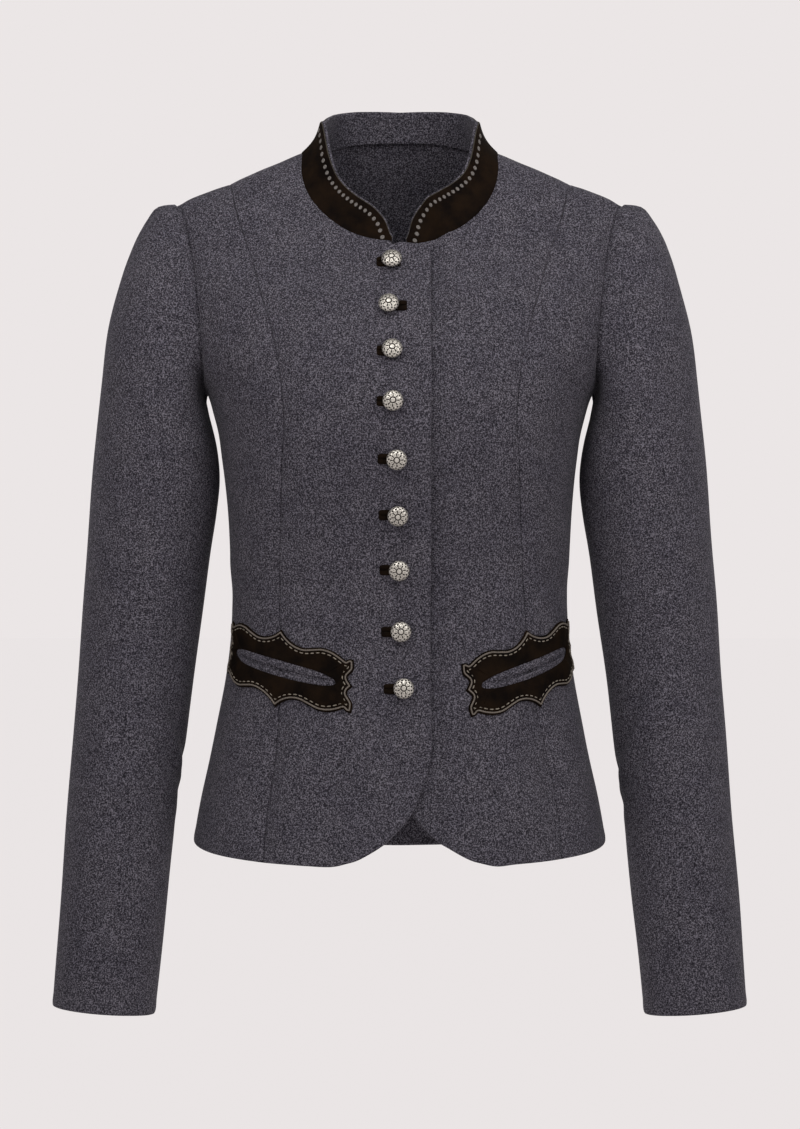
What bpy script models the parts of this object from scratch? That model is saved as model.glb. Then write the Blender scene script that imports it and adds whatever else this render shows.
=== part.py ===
"""Tyrolean loden jacket, worn form with no wearer: fitted fronts, backs, sleeves, stand-up collar,
suede pocket patches, bound buttonholes and nine metal buttons.

Tables and sizes are in millimetres and are turned into metres when a mesh is made. +Z is up, the
front faces -Y, and the wearer's right side is at -X. The origin is midway between the two points
where the collar meets the shoulder seams.
"""

import math
from collections import namedtuple

import bmesh
import bpy
import numpy as np

MM = 0.001

# ---- Driving dimensions, millimetres -------------------------------------------------------------
CLOTH = 2.2            # loden wall
SUEDE = 1.4            # suede wall
SEAM_HALF_GAP = 0.2    # each piece stops this short of its seam line
LIFT = 0.6             # clearance under what lies on a panel
FULLNESS = 2.2         # exponent of the body's oval sections
ROOF_START = -130.0    # above this height the body closes over to the shoulder seams
ROOF_SPAN = 160.0      # length given to that closing part in the cutting grid
NECK_POINT_X = 78.0    # half the distance between the collar's shoulder points
SHOULDER_FALL = 0.412  # drop of the shoulder seam for each unit outwards
TIP_X = 178.3          # shoulder seam's outer end
CHEST_LIMIT = 188.0    # half width that the roof is worked out from
UNDERARM_Z = -197.0
SIDE_SEAM_ANGLE = 94.0
OVERLAP_EDGE_X = 24.5  # right front's edge laps over to here
UNDERLAP_EDGE_X = -14.0
UNDERLAP_DROP = 3.8    # the left front passes this far under the right one
UNDERLAP_MARGIN = 7.0  # it is fully under this far before the right front's edge
UNDERLAP_EASE = 14.0   # width over which it goes under
HEM_SIDE_Z = -549.0
HEM_FRONT_DROP = 15.0  # how much lower the hem is in front than at the sides
HEM_BACK_DROP = 13.5
HEM_FRONT_BEND = 0.9   # below 1 the hem falls soonest near the sides, above 1 near the middle
HEM_BACK_BEND = 1.3

BodySection = namedtuple("BodySection", "z half_width front back")
BODY = (
    BodySection(-580, 168.0, 124.0, 121.0),
    BodySection(-549, 164.4, 119.0, 117.0),
    BodySection(-518, 158.8, 113.0, 110.0),
    BodySection(-486, 151.6, 108.5, 101.0),
    BodySection(-454, 145.2, 104.0, 93.0),
    BodySection(-422, 139.2, 100.5, 86.0),
    BodySection(-390, 135.2, 98.0, 81.0),
    BodySection(-366, 134.0, 98.0, 80.0),
    BodySection(-326, 135.6, 102.5, 86.0),
    BodySection(-278, 138.4, 112.5, 96.0),
    BodySection(-249, 141.4, 119.0, 101.0),
    BodySection(-214, 147.0, 122.0, 104.5),
    BodySection(-197, 153.0, 121.0, 105.5),
    BodySection(-186, 158.0, 119.0, 106.0),
    BodySection(-175, 163.5, 116.0, 106.5),
    BodySection(-160, 170.0, 110.5, 107.0),
    BodySection(-145, 175.0, 104.0, 107.0),
    BodySection(-120, 182.0, 92.0, 106.0),
    BodySection(-88, 186.0, 75.5, 104.0),
    BodySection(-60, 188.0, 69.0, 101.0),
    BodySection(-20, 188.0, 69.0, 97.0),
    BodySection(15, 188.0, 69.0, 93.6),
    BodySection(80, 188.0, 69.0, 93.6),
)

FrontPoint = namedtuple("FrontPoint", "x z")
# Princess seams, from hem to shoulder, on the wearer's right and left.
PRINCESS_RIGHT = (
    FrontPoint(107.5, -563), FrontPoint(104.0, -517), FrontPoint(98.5, -482),
    FrontPoint(95.5, -446), FrontPoint(94.5, -357), FrontPoint(93.5, -295),
    FrontPoint(92.0, -250), FrontPoint(91.5, -203), FrontPoint(95.0, -172),
    FrontPoint(112.0, -107), FrontPoint(130.0, -50),
)
PRINCESS_LEFT = (
    FrontPoint(128.5, -560), FrontPoint(124.0, -514), FrontPoint(114.0, -464),
    FrontPoint(106.5, -436), FrontPoint(100.0, -380), FrontPoint(96.5, -320),
    FrontPoint(93.5, -250), FrontPoint(92.0, -203), FrontPoint(96.0, -172),
    FrontPoint(112.0, -107), FrontPoint(130.0, -50),
)
PRINCESS_BACK = (
    FrontPoint(94.0, -562), FrontPoint(83.0, -500), FrontPoint(71.0, -440),
    FrontPoint(63.5, -375), FrontPoint(65.0, -320), FrontPoint(74.0, -250),
    FrontPoint(83.0, -200), FrontPoint(97.0, -140), FrontPoint(115.0, -80),
)
PRINCESS_SHOULDER_X = 137.5
# Armhole below the shoulder seam, seen from the front and from the back.
ARMHOLE_FRONT = (
    FrontPoint(170.0, -62), FrontPoint(164.5, -88), FrontPoint(160.5, -120),
    FrontPoint(158.0, -145), FrontPoint(157.0, -163), FrontPoint(156.0, -180),
)
ARMHOLE_BACK = (
    FrontPoint(172.0, -62), FrontPoint(167.0, -88), FrontPoint(163.0, -120),
    FrontPoint(160.0, -145), FrontPoint(158.0, -165), FrontPoint(155.5, -182),
)
# Neckline from the front centre to the shoulder, and from the shoulder to the back centre.
NECK_FRONT = (
    FrontPoint(0.0, -76.0), FrontPoint(15.5, -75.4), FrontPoint(28.0, -72.7),
    FrontPoint(42.2, -66.8), FrontPoint(53.4, -59.0), FrontPoint(64.6, -48.2),
    FrontPoint(72.6, -36.6), FrontPoint(77.3, -22.8),
)
NECK_BACK = (
    FrontPoint(76.0, -0.5), FrontPoint(70.0, 1.0), FrontPoint(60.0, 4.0),
    FrontPoint(40.0, 10.0), FrontPoint(20.0, 11.8), FrontPoint(0.0, 12.0),
)
# Rounded lower corner of a front, from the hem up to its straight edge.
CORNER = (
    FrontPoint(-54.0, -563.2), FrontPoint(-42.0, -560.8), FrontPoint(-30.0, -556.8),
    FrontPoint(-11.5, -545.5), FrontPoint(2.5, -531.5),
    FrontPoint(12.5, -515.5), FrontPoint(18.5, -497.0), FrontPoint(22.5, -478.0),
)
CORNER_BENT = 2       # row of CORNER from which the left one's shift fades out
CORNER_MIDDLE = 4      # row of CORNER that ends the hem and starts the front edge
LEFT_CORNER_SHIFT = 22.0  # the left front's corner is this much nearer its own side
EDGE_HEIGHTS = (-440.0, -330.0, -215.0, -150.0, -110.0)

CollarStation = namedtuple("CollarStation", "fraction lean height")
COLLAR = (
    CollarStation(0.00, 14.0, 26.5),
    CollarStation(0.25, 24.0, 27.0),
    CollarStation(0.45, 40.0, 27.0),
    CollarStation(0.62, 36.0, 27.2),
    CollarStation(0.80, 20.0, 27.6),
    CollarStation(1.00, 8.0, 27.8),
)
COLLAR_END_X = 6.5
# How the collar's front ends sweep down: distance from the end, and share of the height left there.
COLLAR_END = ((0.0, 0.09), (3.2, 0.24), (8.0, 0.51), (16.0, 0.76), (24.7, 0.91), (36.0, 0.985), (48.0, 1.0))
COLLAR_TANGENT_REACH = 16.0  # the seam's direction is taken over twice this length
COLLAR_LIFT = 0.5      # clearance over the panels' neck edge

SleeveSection = namedtuple("SleeveSection", "outer_x outer_z inner_x inner_z depth middle oval")
SLEEVE = (
    SleeveSection(186.0, -42.4, 153.9, -199.5, 50.5, 0, 0.20),
    SleeveSection(194.5, -45.2, 153.8, -203.0, 51.5, 0, 0.40),
    SleeveSection(202.5, -51.5, 153.2, -207.5, 52.5, 0, 0.58),
    SleeveSection(210.0, -62.5, 152.2, -213.0, 54.0, 0, 0.72),
    SleeveSection(218.0, -80.0, 150.4, -220.5, 55.5, 0, 0.84),
    SleeveSection(225.2, -105.0, 147.6, -232.0, 57.0, 0, 0.93),
    SleeveSection(232.4, -140.0, 145.2, -246.0, 58.0, 1, 0.98),
    SleeveSection(238.6, -185.0, 144.0, -264.0, 58.0, 2, 1.0),
    SleeveSection(244.2, -237.0, 146.4, -290.0, 57.0, 4, 1.0),
    SleeveSection(248.6, -292.0, 151.4, -322.0, 55.0, 6, 1.0),
    SleeveSection(252.9, -348.0, 157.5, -366.0, 53.0, 8, 1.0),
    SleeveSection(256.6, -405.0, 164.2, -415.0, 50.5, 8, 1.0),
    SleeveSection(261.4, -466.0, 171.6, -474.0, 48.0, 5, 1.0),
    SleeveSection(267.0, -538.0, 180.4, -545.0, 45.5, 0, 1.0),
    SleeveSection(272.0, -610.0, 187.4, -617.0, 43.0, -4, 1.0),
    SleeveSection(276.4, -681.5, 195.0, -688.0, 41.0, -9, 1.0),
)

PocketPlace = namedtuple("PocketPlace", "name side across z slope lean inner outer")
POCKETS = (
    PocketPlace("right", -1, 97.0, -411.0, 0.2235, 0.00, 1.00, 1.12),
    PocketPlace("left", 1, 109.0, -411.5, 0.2800, 0.12, 0.96, 1.04),
)
# A quarter of the patch's scalloped outline: along the slit and across it, from its middle peak.
SCALLOP = (
    (0.0, 30.3), (6.0, 25.0), (13.0, 21.6), (20.0, 20.6), (28.0, 22.4), (36.0, 24.4),
    (43.0, 24.0), (50.0, 21.6), (55.5, 18.6), (61.5, 20.6), (61.8, 13.0), (57.5, 5.6),
)
SLIT_HALF_LENGTH = 47.0
SLIT_HALF_HEIGHT = 5.8
LIP_HALF_LENGTH = 43.0
LIP_CLEARANCE = 0.4
GIRTH_Z = -400.0       # distances round the body are measured at this height

ButtonPlace = namedtuple("ButtonPlace", "x z loop_side")
BUTTONS = (
    ButtonPlace(-6.1, -93.5, -1), ButtonPlace(-8.5, -129.4, 1), ButtonPlace(-5.7, -165.0, -1),
    ButtonPlace(-5.1, -204.2, -1), ButtonPlace(-2.2, -248.7, -1), ButtonPlace(-1.3, -291.8, -1),
    ButtonPlace(-0.4, -334.3, -1), ButtonPlace(1.0, -382.3, -1), ButtonPlace(3.1, -426.5, -1),
)
BUTTON_RADIUS = 8.0
BUTTON_SEGMENTS = 14
BUTTON_RISE = 5.6      # from the button's flat back to the top of its dome
BUTTON_STAND = 1.5     # from the end of its shank to its back
SHANK_RADIUS = 2.0
HOLE_LENGTH = 19.0
HOLE_HEIGHT = 8.0
HOLE_OFFSET = 7.5      # from the button's middle to the buttonhole's middle
HOLE_WALL = 1.0
BUTTON_LIFT = LIFT + HOLE_WALL + 0.4

# ---- Cutting grid --------------------------------------------------------------------------------
ROWS_BELOW = 12
ROWS_ABOVE = 9
FRONT_COLUMNS = 7
SIDE_COLUMNS = 5
SIDE_BACK_COLUMNS = 4
SHOULDER_COLUMNS = 2
NECK_BACK_COLUMNS = 5
NECK_FRONT_ROWS = 7
COLLAR_ROWS = 2
PATCH_ROWS = 2
LIP_COLUMNS = 8
HOLE_COLUMNS = 4

RIDGE_LEVEL = ROOF_START + ROOF_SPAN

Finish = namedtuple("Finish", "colour roughness metallic")
FINISHES = {
    "loden": Finish((0.062, 0.057, 0.070, 1.0), 0.95, 0.0),
    "suede": Finish((0.012, 0.008, 0.006, 1.0), 0.85, 0.0),
    "metal": Finish((0.55, 0.53, 0.49, 1.0), 0.35, 1.0),
}


def smooth_value(places, values, at):
    """A smooth curve through a table's values, read at one place or many."""
    places = np.asarray(places, float)
    values = np.asarray(values, float)
    steps = np.diff(places)
    slopes = np.diff(values) / steps
    tangents = np.empty_like(values)
    tangents[0] = slopes[0]
    tangents[-1] = slopes[-1]
    weights = steps[1:] + steps[:-1]
    tangents[1:-1] = (slopes[:-1] * steps[1:] + slopes[1:] * steps[:-1]) / weights
    at = np.clip(at, places[0], places[-1])
    index = np.clip(np.searchsorted(places, at, side="right") - 1, 0, len(places) - 2)
    t = (at - places[index]) / steps[index]
    return (
        values[index] * (1 + 2 * t) * (1 - t) ** 2
        + tangents[index] * steps[index] * t * (1 - t) ** 2
        + values[index + 1] * t * t * (3 - 2 * t)
        + tangents[index + 1] * steps[index] * t * t * (t - 1)
    )


def column(table, name):
    return [getattr(row, name) for row in table]


def ease(t):
    t = np.clip(t, 0.0, 1.0)
    return t * t * (3 - 2 * t)


def body_size(name, z):
    return smooth_value(column(BODY, "z"), column(BODY, name), z)


def ridge_height(share, behind):
    """Height of the shoulder ridge, and of its imagined run inside the neck, at a share of width."""
    x = CHEST_LIMIT * share
    line = -SHOULDER_FALL * (x - NECK_POINT_X)
    inside = np.maximum(NECK_POINT_X - x, 0.0)
    rise = np.where(behind, 60.0 * ease(inside / 40.0), 0.0045 * inside**2)
    return line + rise


def roof_power(share):
    return 1.5 + 0.5 * ease((CHEST_LIMIT * share - 60.0) / 120.0)


def body_point(angle, level):
    """Outer face of the body. Angle is 0 at the front, 90 at the side and 180 at the back."""
    angle = np.asarray(angle, float)
    level = np.asarray(level, float)
    turn = np.radians(angle)
    share = np.abs(np.sin(turn)) ** (2 / FULLNESS)
    depth_share = np.abs(np.cos(turn)) ** (2 / FULLNESS)
    behind = np.abs(angle) > 90.0
    arch = np.clip((level - ROOF_START) / ROOF_SPAN, 0.0, 1.0) * math.pi / 2
    power = roof_power(share)
    climb = np.sin(arch) ** (2 / power)
    closing = np.cos(arch) ** (2 / power)
    top = ridge_height(share, behind)
    z = np.where(level < ROOF_START, level, ROOF_START + (top - ROOF_START) * climb)
    depth = np.where(behind, body_size("back", z), -body_size("front", z))
    x = np.sign(np.sin(turn)) * body_size("half_width", z) * share
    return np.stack([x, depth * depth_share * closing, z], axis=-1)


def locate(x, z, behind=False):
    """Angle and level of the body point that a straight-on view shows at x and z."""
    share = np.minimum(np.abs(x) / body_size("half_width", z), 1.0)
    angle = np.degrees(np.arcsin(share ** (FULLNESS / 2)))
    if behind:
        angle = 180.0 - angle
    climb = np.clip((z - ROOF_START) / (ridge_height(share, behind) - ROOF_START), 0.0, 1.0)
    arch = np.arcsin(climb ** (roof_power(share) / 2))
    level = z if z <= ROOF_START else ROOF_START + ROOF_SPAN * arch / (math.pi / 2)
    return np.array([float(np.copysign(angle, x)), float(level)])


def body_normal(angle, level):
    """Outward unit normal of the body's outer face."""
    reach = 0.05
    ridge_margin = 0.5
    angle = np.asarray(angle, float)
    high = np.minimum(level + reach, RIDGE_LEVEL - ridge_margin)
    low = high - 2 * reach
    across = body_point(angle + reach, low) - body_point(angle - reach, low)
    up = body_point(angle, high) - body_point(angle, low)
    normal = np.cross(across, up)
    return normal / np.linalg.norm(normal, axis=-1, keepdims=True)


def along(points, count):
    """Points spread evenly along a polyline of cutting-grid points, by their distance on the body."""
    points = np.asarray(points, float)
    fine = resample(points, 40 * (len(points) - 1) + 1)
    solid = body_point(fine[:, 0], fine[:, 1])
    length = np.concatenate([[0.0], np.cumsum(np.linalg.norm(np.diff(solid, axis=0), axis=1))])
    wanted = np.linspace(0.0, length[-1], count)
    return np.stack([np.interp(wanted, length, fine[:, k]) for k in range(2)], axis=1)


def resample(points, count):
    """A smooth curve through cutting-grid points, at even steps of their numbering."""
    places = np.arange(len(points), dtype=float)
    wanted = np.linspace(0.0, places[-1], count)
    return np.stack([smooth_value(places, points[:, k], wanted) for k in range(2)], axis=1)


def shoulder_angle(x):
    """Angle at which the shoulder ridge reaches x."""
    return math.degrees(math.asin((x / CHEST_LIMIT) ** (FULLNESS / 2)))


def hem_level(angle):
    turn = np.cos(np.radians(angle))
    front = HEM_FRONT_DROP * np.abs(turn) ** HEM_FRONT_BEND
    back = HEM_BACK_DROP * np.abs(turn) ** HEM_BACK_BEND
    return HEM_SIDE_Z - np.where(turn > 0, front, back)


TIP_ANGLE = shoulder_angle(TIP_X)
NECK_ANGLE = shoulder_angle(NECK_POINT_X)


def armhole(table, behind):
    """One half of an armhole, from the underarm up to the shoulder seam's end."""
    tip = 180.0 - TIP_ANGLE if behind else TIP_ANGLE
    points = [[SIDE_SEAM_ANGLE, UNDERARM_Z]]
    points += [locate(row.x, row.z, behind) for row in reversed(table)]
    points += [[tip, RIDGE_LEVEL]]
    return along(points, ROWS_ABOVE + 1)


def side_seam():
    levels = np.linspace(hem_level(SIDE_SEAM_ANGLE), UNDERARM_Z, ROWS_BELOW + 1)
    return np.stack([np.full_like(levels, SIDE_SEAM_ANGLE), levels], axis=1)


def princess(table, behind=False):
    """A princess seam from the hem to the shoulder seam, a point for each row."""
    points = np.array([locate(row.x, row.z, behind) for row in table])
    points[0, 1] = hem_level(points[0, 0])
    top = shoulder_angle(PRINCESS_SHOULDER_X)
    points = np.concatenate([points, [[180.0 - top if behind else top, RIDGE_LEVEL]]])
    below = np.linspace(points[0, 1], UNDERARM_Z, ROWS_BELOW + 1)
    above = np.linspace(UNDERARM_Z, RIDGE_LEVEL, ROWS_ABOVE + 1)[1:]
    levels = np.concatenate([below, above])
    return np.stack([smooth_value(points[:, 1], points[:, 0], levels), levels], axis=1)


def shoulder_line(start_x, end_x, columns, behind=False):
    xs = np.linspace(start_x, end_x, columns + 1)
    angles = np.array([shoulder_angle(x) for x in xs])
    if behind:
        angles = 180.0 - angles
    return np.stack([angles, np.full_like(angles, RIDGE_LEVEL)], axis=1)


def coons(bottom, top, start, end):
    """A grid that fills the space between four edges; bottom and top run from start to end."""
    s = np.linspace(0.0, 1.0, len(bottom))[:, None, None]
    t = np.linspace(0.0, 1.0, len(start))[None, :, None]
    ruled = (1 - t) * bottom[:, None] + t * top[:, None] + (1 - s) * start[None] + s * end[None]
    corners = (
        (1 - s) * (1 - t) * bottom[0] + s * (1 - t) * bottom[-1]
        + (1 - s) * t * top[0] + s * t * top[-1]
    )
    return ruled - corners


def pull_in(grid):
    """Moves a cutting grid's edges in from their seams by half the gap between two pieces."""
    grid = grid.copy()
    for axis in (0, 1):
        rows = np.moveaxis(grid, axis, 0)
        for edge, inner in ((0, 1), (-1, -2)):
            start = rows[edge].copy()
            step = rows[inner] - start
            seam = body_point(start[:, 0], start[:, 1])
            share = np.full(len(start), 0.02)
            for _ in range(8):
                moved = start + step * share[:, None]
                distance = np.linalg.norm(body_point(moved[:, 0], moved[:, 1]) - seam, axis=1)
                share = np.clip(share * SEAM_HALF_GAP / distance, 0.001, 0.5)
            rows[edge] = start + step * share[:, None]
    return grid


def underlap(points):
    """How far the left front is pushed in where it passes under the right front."""
    outer_limit = OVERLAP_EDGE_X + UNDERLAP_MARGIN + UNDERLAP_EASE
    return UNDERLAP_DROP * ease((outer_limit - points[..., 0]) / UNDERLAP_EASE)


def panel_faces(grid, mirrored, under):
    """Outer and inner points of a panel cut to a cutting grid."""
    grid = pull_in(grid)
    outer = body_point(grid[..., 0], grid[..., 1])
    normal = body_normal(grid[..., 0], grid[..., 1])
    if mirrored:
        outer = outer * (-1, 1, 1)
        normal = normal * (-1, 1, 1)
    if under:
        outer = outer - normal * underlap(outer)[..., None]
    return outer, outer - normal * CLOTH


def front_edge(edge_x, shift):
    """Two runs of a front's free edge: hem end to corner, and corner to neck.

    Angles are positive on the front's own side, so an edge that has crossed the centre is negative.
    """
    last = len(CORNER) - 1 - CORNER_BENT
    corner = []
    for number, row in enumerate(CORNER):
        share = (max(number - CORNER_BENT, 0) / last) ** 2
        x = row.x - shift * (1 - share) + (edge_x - CORNER[-1].x) * share
        corner.append(locate(-x, row.z))
    straight = [locate(-edge_x, z) for z in EDGE_HEIGHTS]
    neck = locate(-edge_x, NECK_FRONT[0].z)
    return corner[: CORNER_MIDDLE + 1], corner[CORNER_MIDDLE:] + straight + [neck]


def neckline_front():
    """Front neckline from the collar's front end up to the shoulder."""
    points = [locate(COLLAR_END_X, NECK_FRONT[0].z)]
    points += [locate(row.x, row.z) for row in NECK_FRONT[1:]]
    points.append(np.array([NECK_ANGLE, RIDGE_LEVEL]))
    return along(points, NECK_FRONT_ROWS + 1)


def neckline_back():
    """Back neckline from the shoulder to the centre back."""
    points = [np.array([180.0 - NECK_ANGLE, RIDGE_LEVEL])]
    points += [locate(row.x, row.z, True) for row in NECK_BACK]
    return along(points, NECK_BACK_COLUMNS + 1)


def front_grid(table, edge_x, shift):
    """Cutting grid of a centre front: columns run from its princess seam to its front edge."""
    seam = princess(table)
    lower, upper = front_edge(edge_x, shift)
    hem_angles = np.linspace(seam[0, 0], seam[0, 0] * 0.62, 4)
    hem = [np.array([angle, hem_level(angle)]) for angle in hem_angles]
    bottom = along(hem + lower, FRONT_COLUMNS + 1)
    neck = neckline_front()
    edge = along(upper, len(seam) - len(neck))
    top = shoulder_line(PRINCESS_SHOULDER_X, NECK_POINT_X, FRONT_COLUMNS)
    return coons(bottom, top, seam, np.concatenate([edge, neck]))


def side_front_grid(table):
    """Cutting grid of a side front: columns run from its princess seam to its side seam."""
    seam = princess(table)
    angles = np.linspace(seam[0, 0], SIDE_SEAM_ANGLE, SIDE_COLUMNS + 1)
    bottom = np.stack([angles, hem_level(angles)], axis=1)
    top = shoulder_line(PRINCESS_SHOULDER_X, TIP_X, SIDE_COLUMNS)
    end = np.concatenate([side_seam(), armhole(ARMHOLE_FRONT, False)[1:]])
    return coons(bottom, top, seam, end)


def side_back_grid():
    """Cutting grid of a side back: columns run from its side seam to its princess seam."""
    start = np.concatenate([side_seam(), armhole(ARMHOLE_BACK, True)[1:]])
    seam = princess(PRINCESS_BACK, True)
    top = shoulder_line(TIP_X, PRINCESS_SHOULDER_X, SIDE_BACK_COLUMNS, True)
    angles = np.linspace(SIDE_SEAM_ANGLE, seam[0, 0], len(top))
    bottom = np.stack([angles, hem_level(angles)], axis=1)
    return coons(bottom, top, start, seam)


def other_side(points):
    """The same points on the other side of the centre back, in the opposite order."""
    return np.stack([360.0 - points[::-1, 0], points[::-1, 1]], axis=1)


def back_grid():
    """Cutting grid of the back: columns run from the left princess seam to the right one."""
    seam = princess(PRINCESS_BACK, True)
    shoulder = shoulder_line(PRINCESS_SHOULDER_X, NECK_POINT_X, SHOULDER_COLUMNS, True)
    half = np.concatenate([shoulder, neckline_back()[1:]])
    top = np.concatenate([half, other_side(half)[1:]])
    angles = np.linspace(seam[0, 0], 360.0 - seam[0, 0], len(top))
    bottom = np.stack([angles, hem_level(angles)], axis=1)
    return coons(bottom, top, seam, other_side(seam)[::-1])


def shell_mesh(outer, inner, wrapped=False):
    """Vertices and faces of a closed wall between two grids of points, in metres.

    A wrapped grid joins its last column to its first, as a tube or a ring does.
    """
    columns, rows = outer.shape[:2]
    size = columns * rows
    points = np.concatenate([outer.reshape(-1, 3), inner.reshape(-1, 3)]) * MM
    faces = []
    last = columns if wrapped else columns - 1
    for i in range(last):
        here = i * rows
        there = (i + 1) % columns * rows
        for j in range(rows - 1):
            faces.append((here + j, there + j, there + j + 1, here + j + 1))
            faces.append((size + here + j, size + here + j + 1, size + there + j + 1, size + there + j))
        faces.append((there, here, size + here, size + there))
        end = rows - 1
        faces.append((here + end, there + end, size + there + end, size + here + end))
    if not wrapped:
        for j in range(rows - 1):
            faces.append((j, j + 1, size + j + 1, size + j))
            far = (columns - 1) * rows
            faces.append((far + j + 1, far + j, size + far + j, size + far + j + 1))
    return points, faces


def add_mesh(name, finish, collection, points, faces):
    """One named object from points and faces, turned so that its faces point out."""
    mesh = bpy.data.meshes.new(name)
    mesh.from_pydata([tuple(p) for p in points], [], faces)
    work = bmesh.new()
    work.from_mesh(mesh)
    bmesh.ops.triangulate(work, faces=work.faces[:])
    if work.calc_volume(signed=True) < 0:
        bmesh.ops.reverse_faces(work, faces=work.faces[:])
    work.to_mesh(mesh)
    work.free()
    mesh.shade_smooth()
    mesh.set_sharp_from_angle(angle=math.radians(40))
    mesh.materials.append(finish)
    obj = bpy.data.objects.new(name, mesh)
    collection.objects.link(obj)
    return obj


def grid_normals(grid):
    """Unit normals of a wrapped grid of points, by the points round each one."""
    around = np.roll(grid, -1, axis=0) - np.roll(grid, 1, axis=0)
    down = np.gradient(grid, axis=1)
    normal = np.cross(around, down)
    return normal / np.linalg.norm(normal, axis=-1, keepdims=True)


def sleeve_grid():
    """Outer points of the left sleeve: a ring at the armhole, then one for each section."""
    front = armhole(ARMHOLE_FRONT, False)
    back = armhole(ARMHOLE_BACK, True)
    ring = np.concatenate([front[::-1], back[1:-1]])
    hole = body_point(ring[:, 0], ring[:, 1])
    low = body_point(SIDE_SEAM_ANGLE, UNDERARM_Z) * (1, 0, 1)
    high = hole[0] * (1, 0, 1)
    chord = high - low
    chord_length = np.linalg.norm(chord)
    up = chord / chord_length
    out = np.array([up[2], 0.0, -up[0]])
    share = (hole - low) @ up / chord_length
    bulge = (hole - low) @ out
    steps = np.linalg.norm(np.diff(hole, axis=0, append=hole[:1]), axis=1)
    turn = np.concatenate([[0.0], np.cumsum(steps)[:-1]]) / steps.sum() * 2 * math.pi
    rings = [hole + out * (2 * SEAM_HALF_GAP)]
    for row in SLEEVE:
        top = np.array([row.outer_x, 0.0, row.outer_z])
        bottom = np.array([row.inner_x, 0.0, row.inner_z])
        span = top - bottom
        lift = span / np.linalg.norm(span)
        normal = np.array([lift[2], 0.0, -lift[0]])
        oval_share = 0.5 + 0.5 * np.cos(turn)
        along_span = (1 - row.oval) * share + row.oval * oval_share
        depth = (1 - row.oval) * hole[:, 1] - row.oval * row.depth * np.sin(turn) + row.middle
        points = bottom + along_span[:, None] * span + ((1 - row.oval) * bulge)[:, None] * normal
        points[:, 1] = depth
        rings.append(points)
    return np.stack(rings, axis=1)


def collar_line():
    """Neck seam from the left front end round the back to the right one, on the panels' points."""
    front = neckline_front()
    half = np.concatenate([front, neckline_back()[1:]])
    right = body_point(half[:, 0], half[:, 1])
    left = right - body_normal(half[:, 0], half[:, 1]) * underlap(right)[:, None]
    line = np.concatenate([left, right[-2::-1] * (-1, 1, 1)])
    places = np.arange(len(line), dtype=float)
    end_places = np.array([0.2, 0.45, 0.7, 1.4])
    places = np.sort(np.concatenate([places, end_places, places[-1] - end_places]))
    line = np.stack([np.interp(places, np.arange(len(line)), line[:, k]) for k in range(3)], axis=1)
    distance = np.concatenate([[0.0], np.cumsum(np.linalg.norm(np.diff(line, axis=0), axis=1))])
    return line, distance


def even_out(directions, distance):
    """Unit directions averaged along the collar, so that its top edge runs smoothly."""
    gap = distance[:, None] - distance[None, :]
    weight = np.exp(-0.5 * (gap / COLLAR_TANGENT_REACH) ** 2)
    weight *= np.gradient(distance)[None, :]
    mean = weight @ directions
    return mean / np.linalg.norm(mean, axis=1, keepdims=True)


def collar_faces():
    """Points of the collar's outer face and its outward normals."""
    line, distance = collar_line()
    total = distance[-1]
    fraction = np.abs(distance / total - 0.5) * 2
    lean = np.radians(smooth_value(column(COLLAR, "fraction"), column(COLLAR, "lean"), fraction))
    height = smooth_value(column(COLLAR, "fraction"), column(COLLAR, "height"), fraction)
    to_end = np.minimum(distance, total - distance)
    ends = np.array(COLLAR_END)
    height = height * smooth_value(ends[:, 0], ends[:, 1], np.minimum(to_end, ends[-1, 0]))
    reach = COLLAR_TANGENT_REACH
    ahead = [np.interp(distance + reach, distance, line[:, k]) for k in range(3)]
    behind = [np.interp(distance - reach, distance, line[:, k]) for k in range(3)]
    tangent = np.stack(ahead, axis=1) - np.stack(behind, axis=1)
    tangent /= np.linalg.norm(tangent, axis=1, keepdims=True)
    outward = np.stack([tangent[:, 1], -tangent[:, 0], np.zeros(len(line))], axis=1)
    outward /= np.linalg.norm(outward, axis=1, keepdims=True)
    outward *= np.sign((outward * line).sum(axis=1))[:, None]
    outward = even_out(outward, distance)
    upright = np.cross(outward, tangent)
    upright /= np.linalg.norm(upright, axis=1, keepdims=True)
    upright *= np.sign(upright[:, 2])[:, None]
    upright = even_out(upright, distance)
    rise = upright * np.cos(lean)[:, None] - outward * np.sin(lean)[:, None]
    normal = outward * np.cos(lean)[:, None] + upright * np.sin(lean)[:, None]
    share = np.linspace(0.0, 1.0, COLLAR_ROWS + 1)
    steps = COLLAR_LIFT + share[None, :] * (height[:, None] - COLLAR_LIFT)
    grid = line[:, None] + steps[..., None] * rise[:, None]
    return grid, np.repeat(normal[:, None], COLLAR_ROWS + 1, axis=1)


def girth_angles():
    angles = np.linspace(0.0, 130.0, 521)
    points = body_point(angles, np.full_like(angles, GIRTH_Z))
    steps = np.linalg.norm(np.diff(points, axis=0), axis=1)
    return np.concatenate([[0.0], np.cumsum(steps)]), angles


def laid_on(across, z, lift, wall):
    """Outer and inner points of a thin piece that lies on the body.

    Args are distances round the body from the front centre, heights, clearance and thickness.
    """
    distances, angles = girth_angles()
    angle = np.sign(across) * np.interp(np.abs(across), distances, angles)
    points = body_point(angle, z)
    normal = body_normal(angle, z)
    return points + normal * (lift + wall), points + normal * lift


def pocket_point(place, u, v):
    """Distance round the body and height of a point given along and across a pocket's slit."""
    stretched = np.where(u > 0, u * place.inner, u * place.outer)
    inward = stretched + place.lean * v
    across = place.side * (place.across - inward)
    return across, place.z + v - place.slope * stretched


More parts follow.
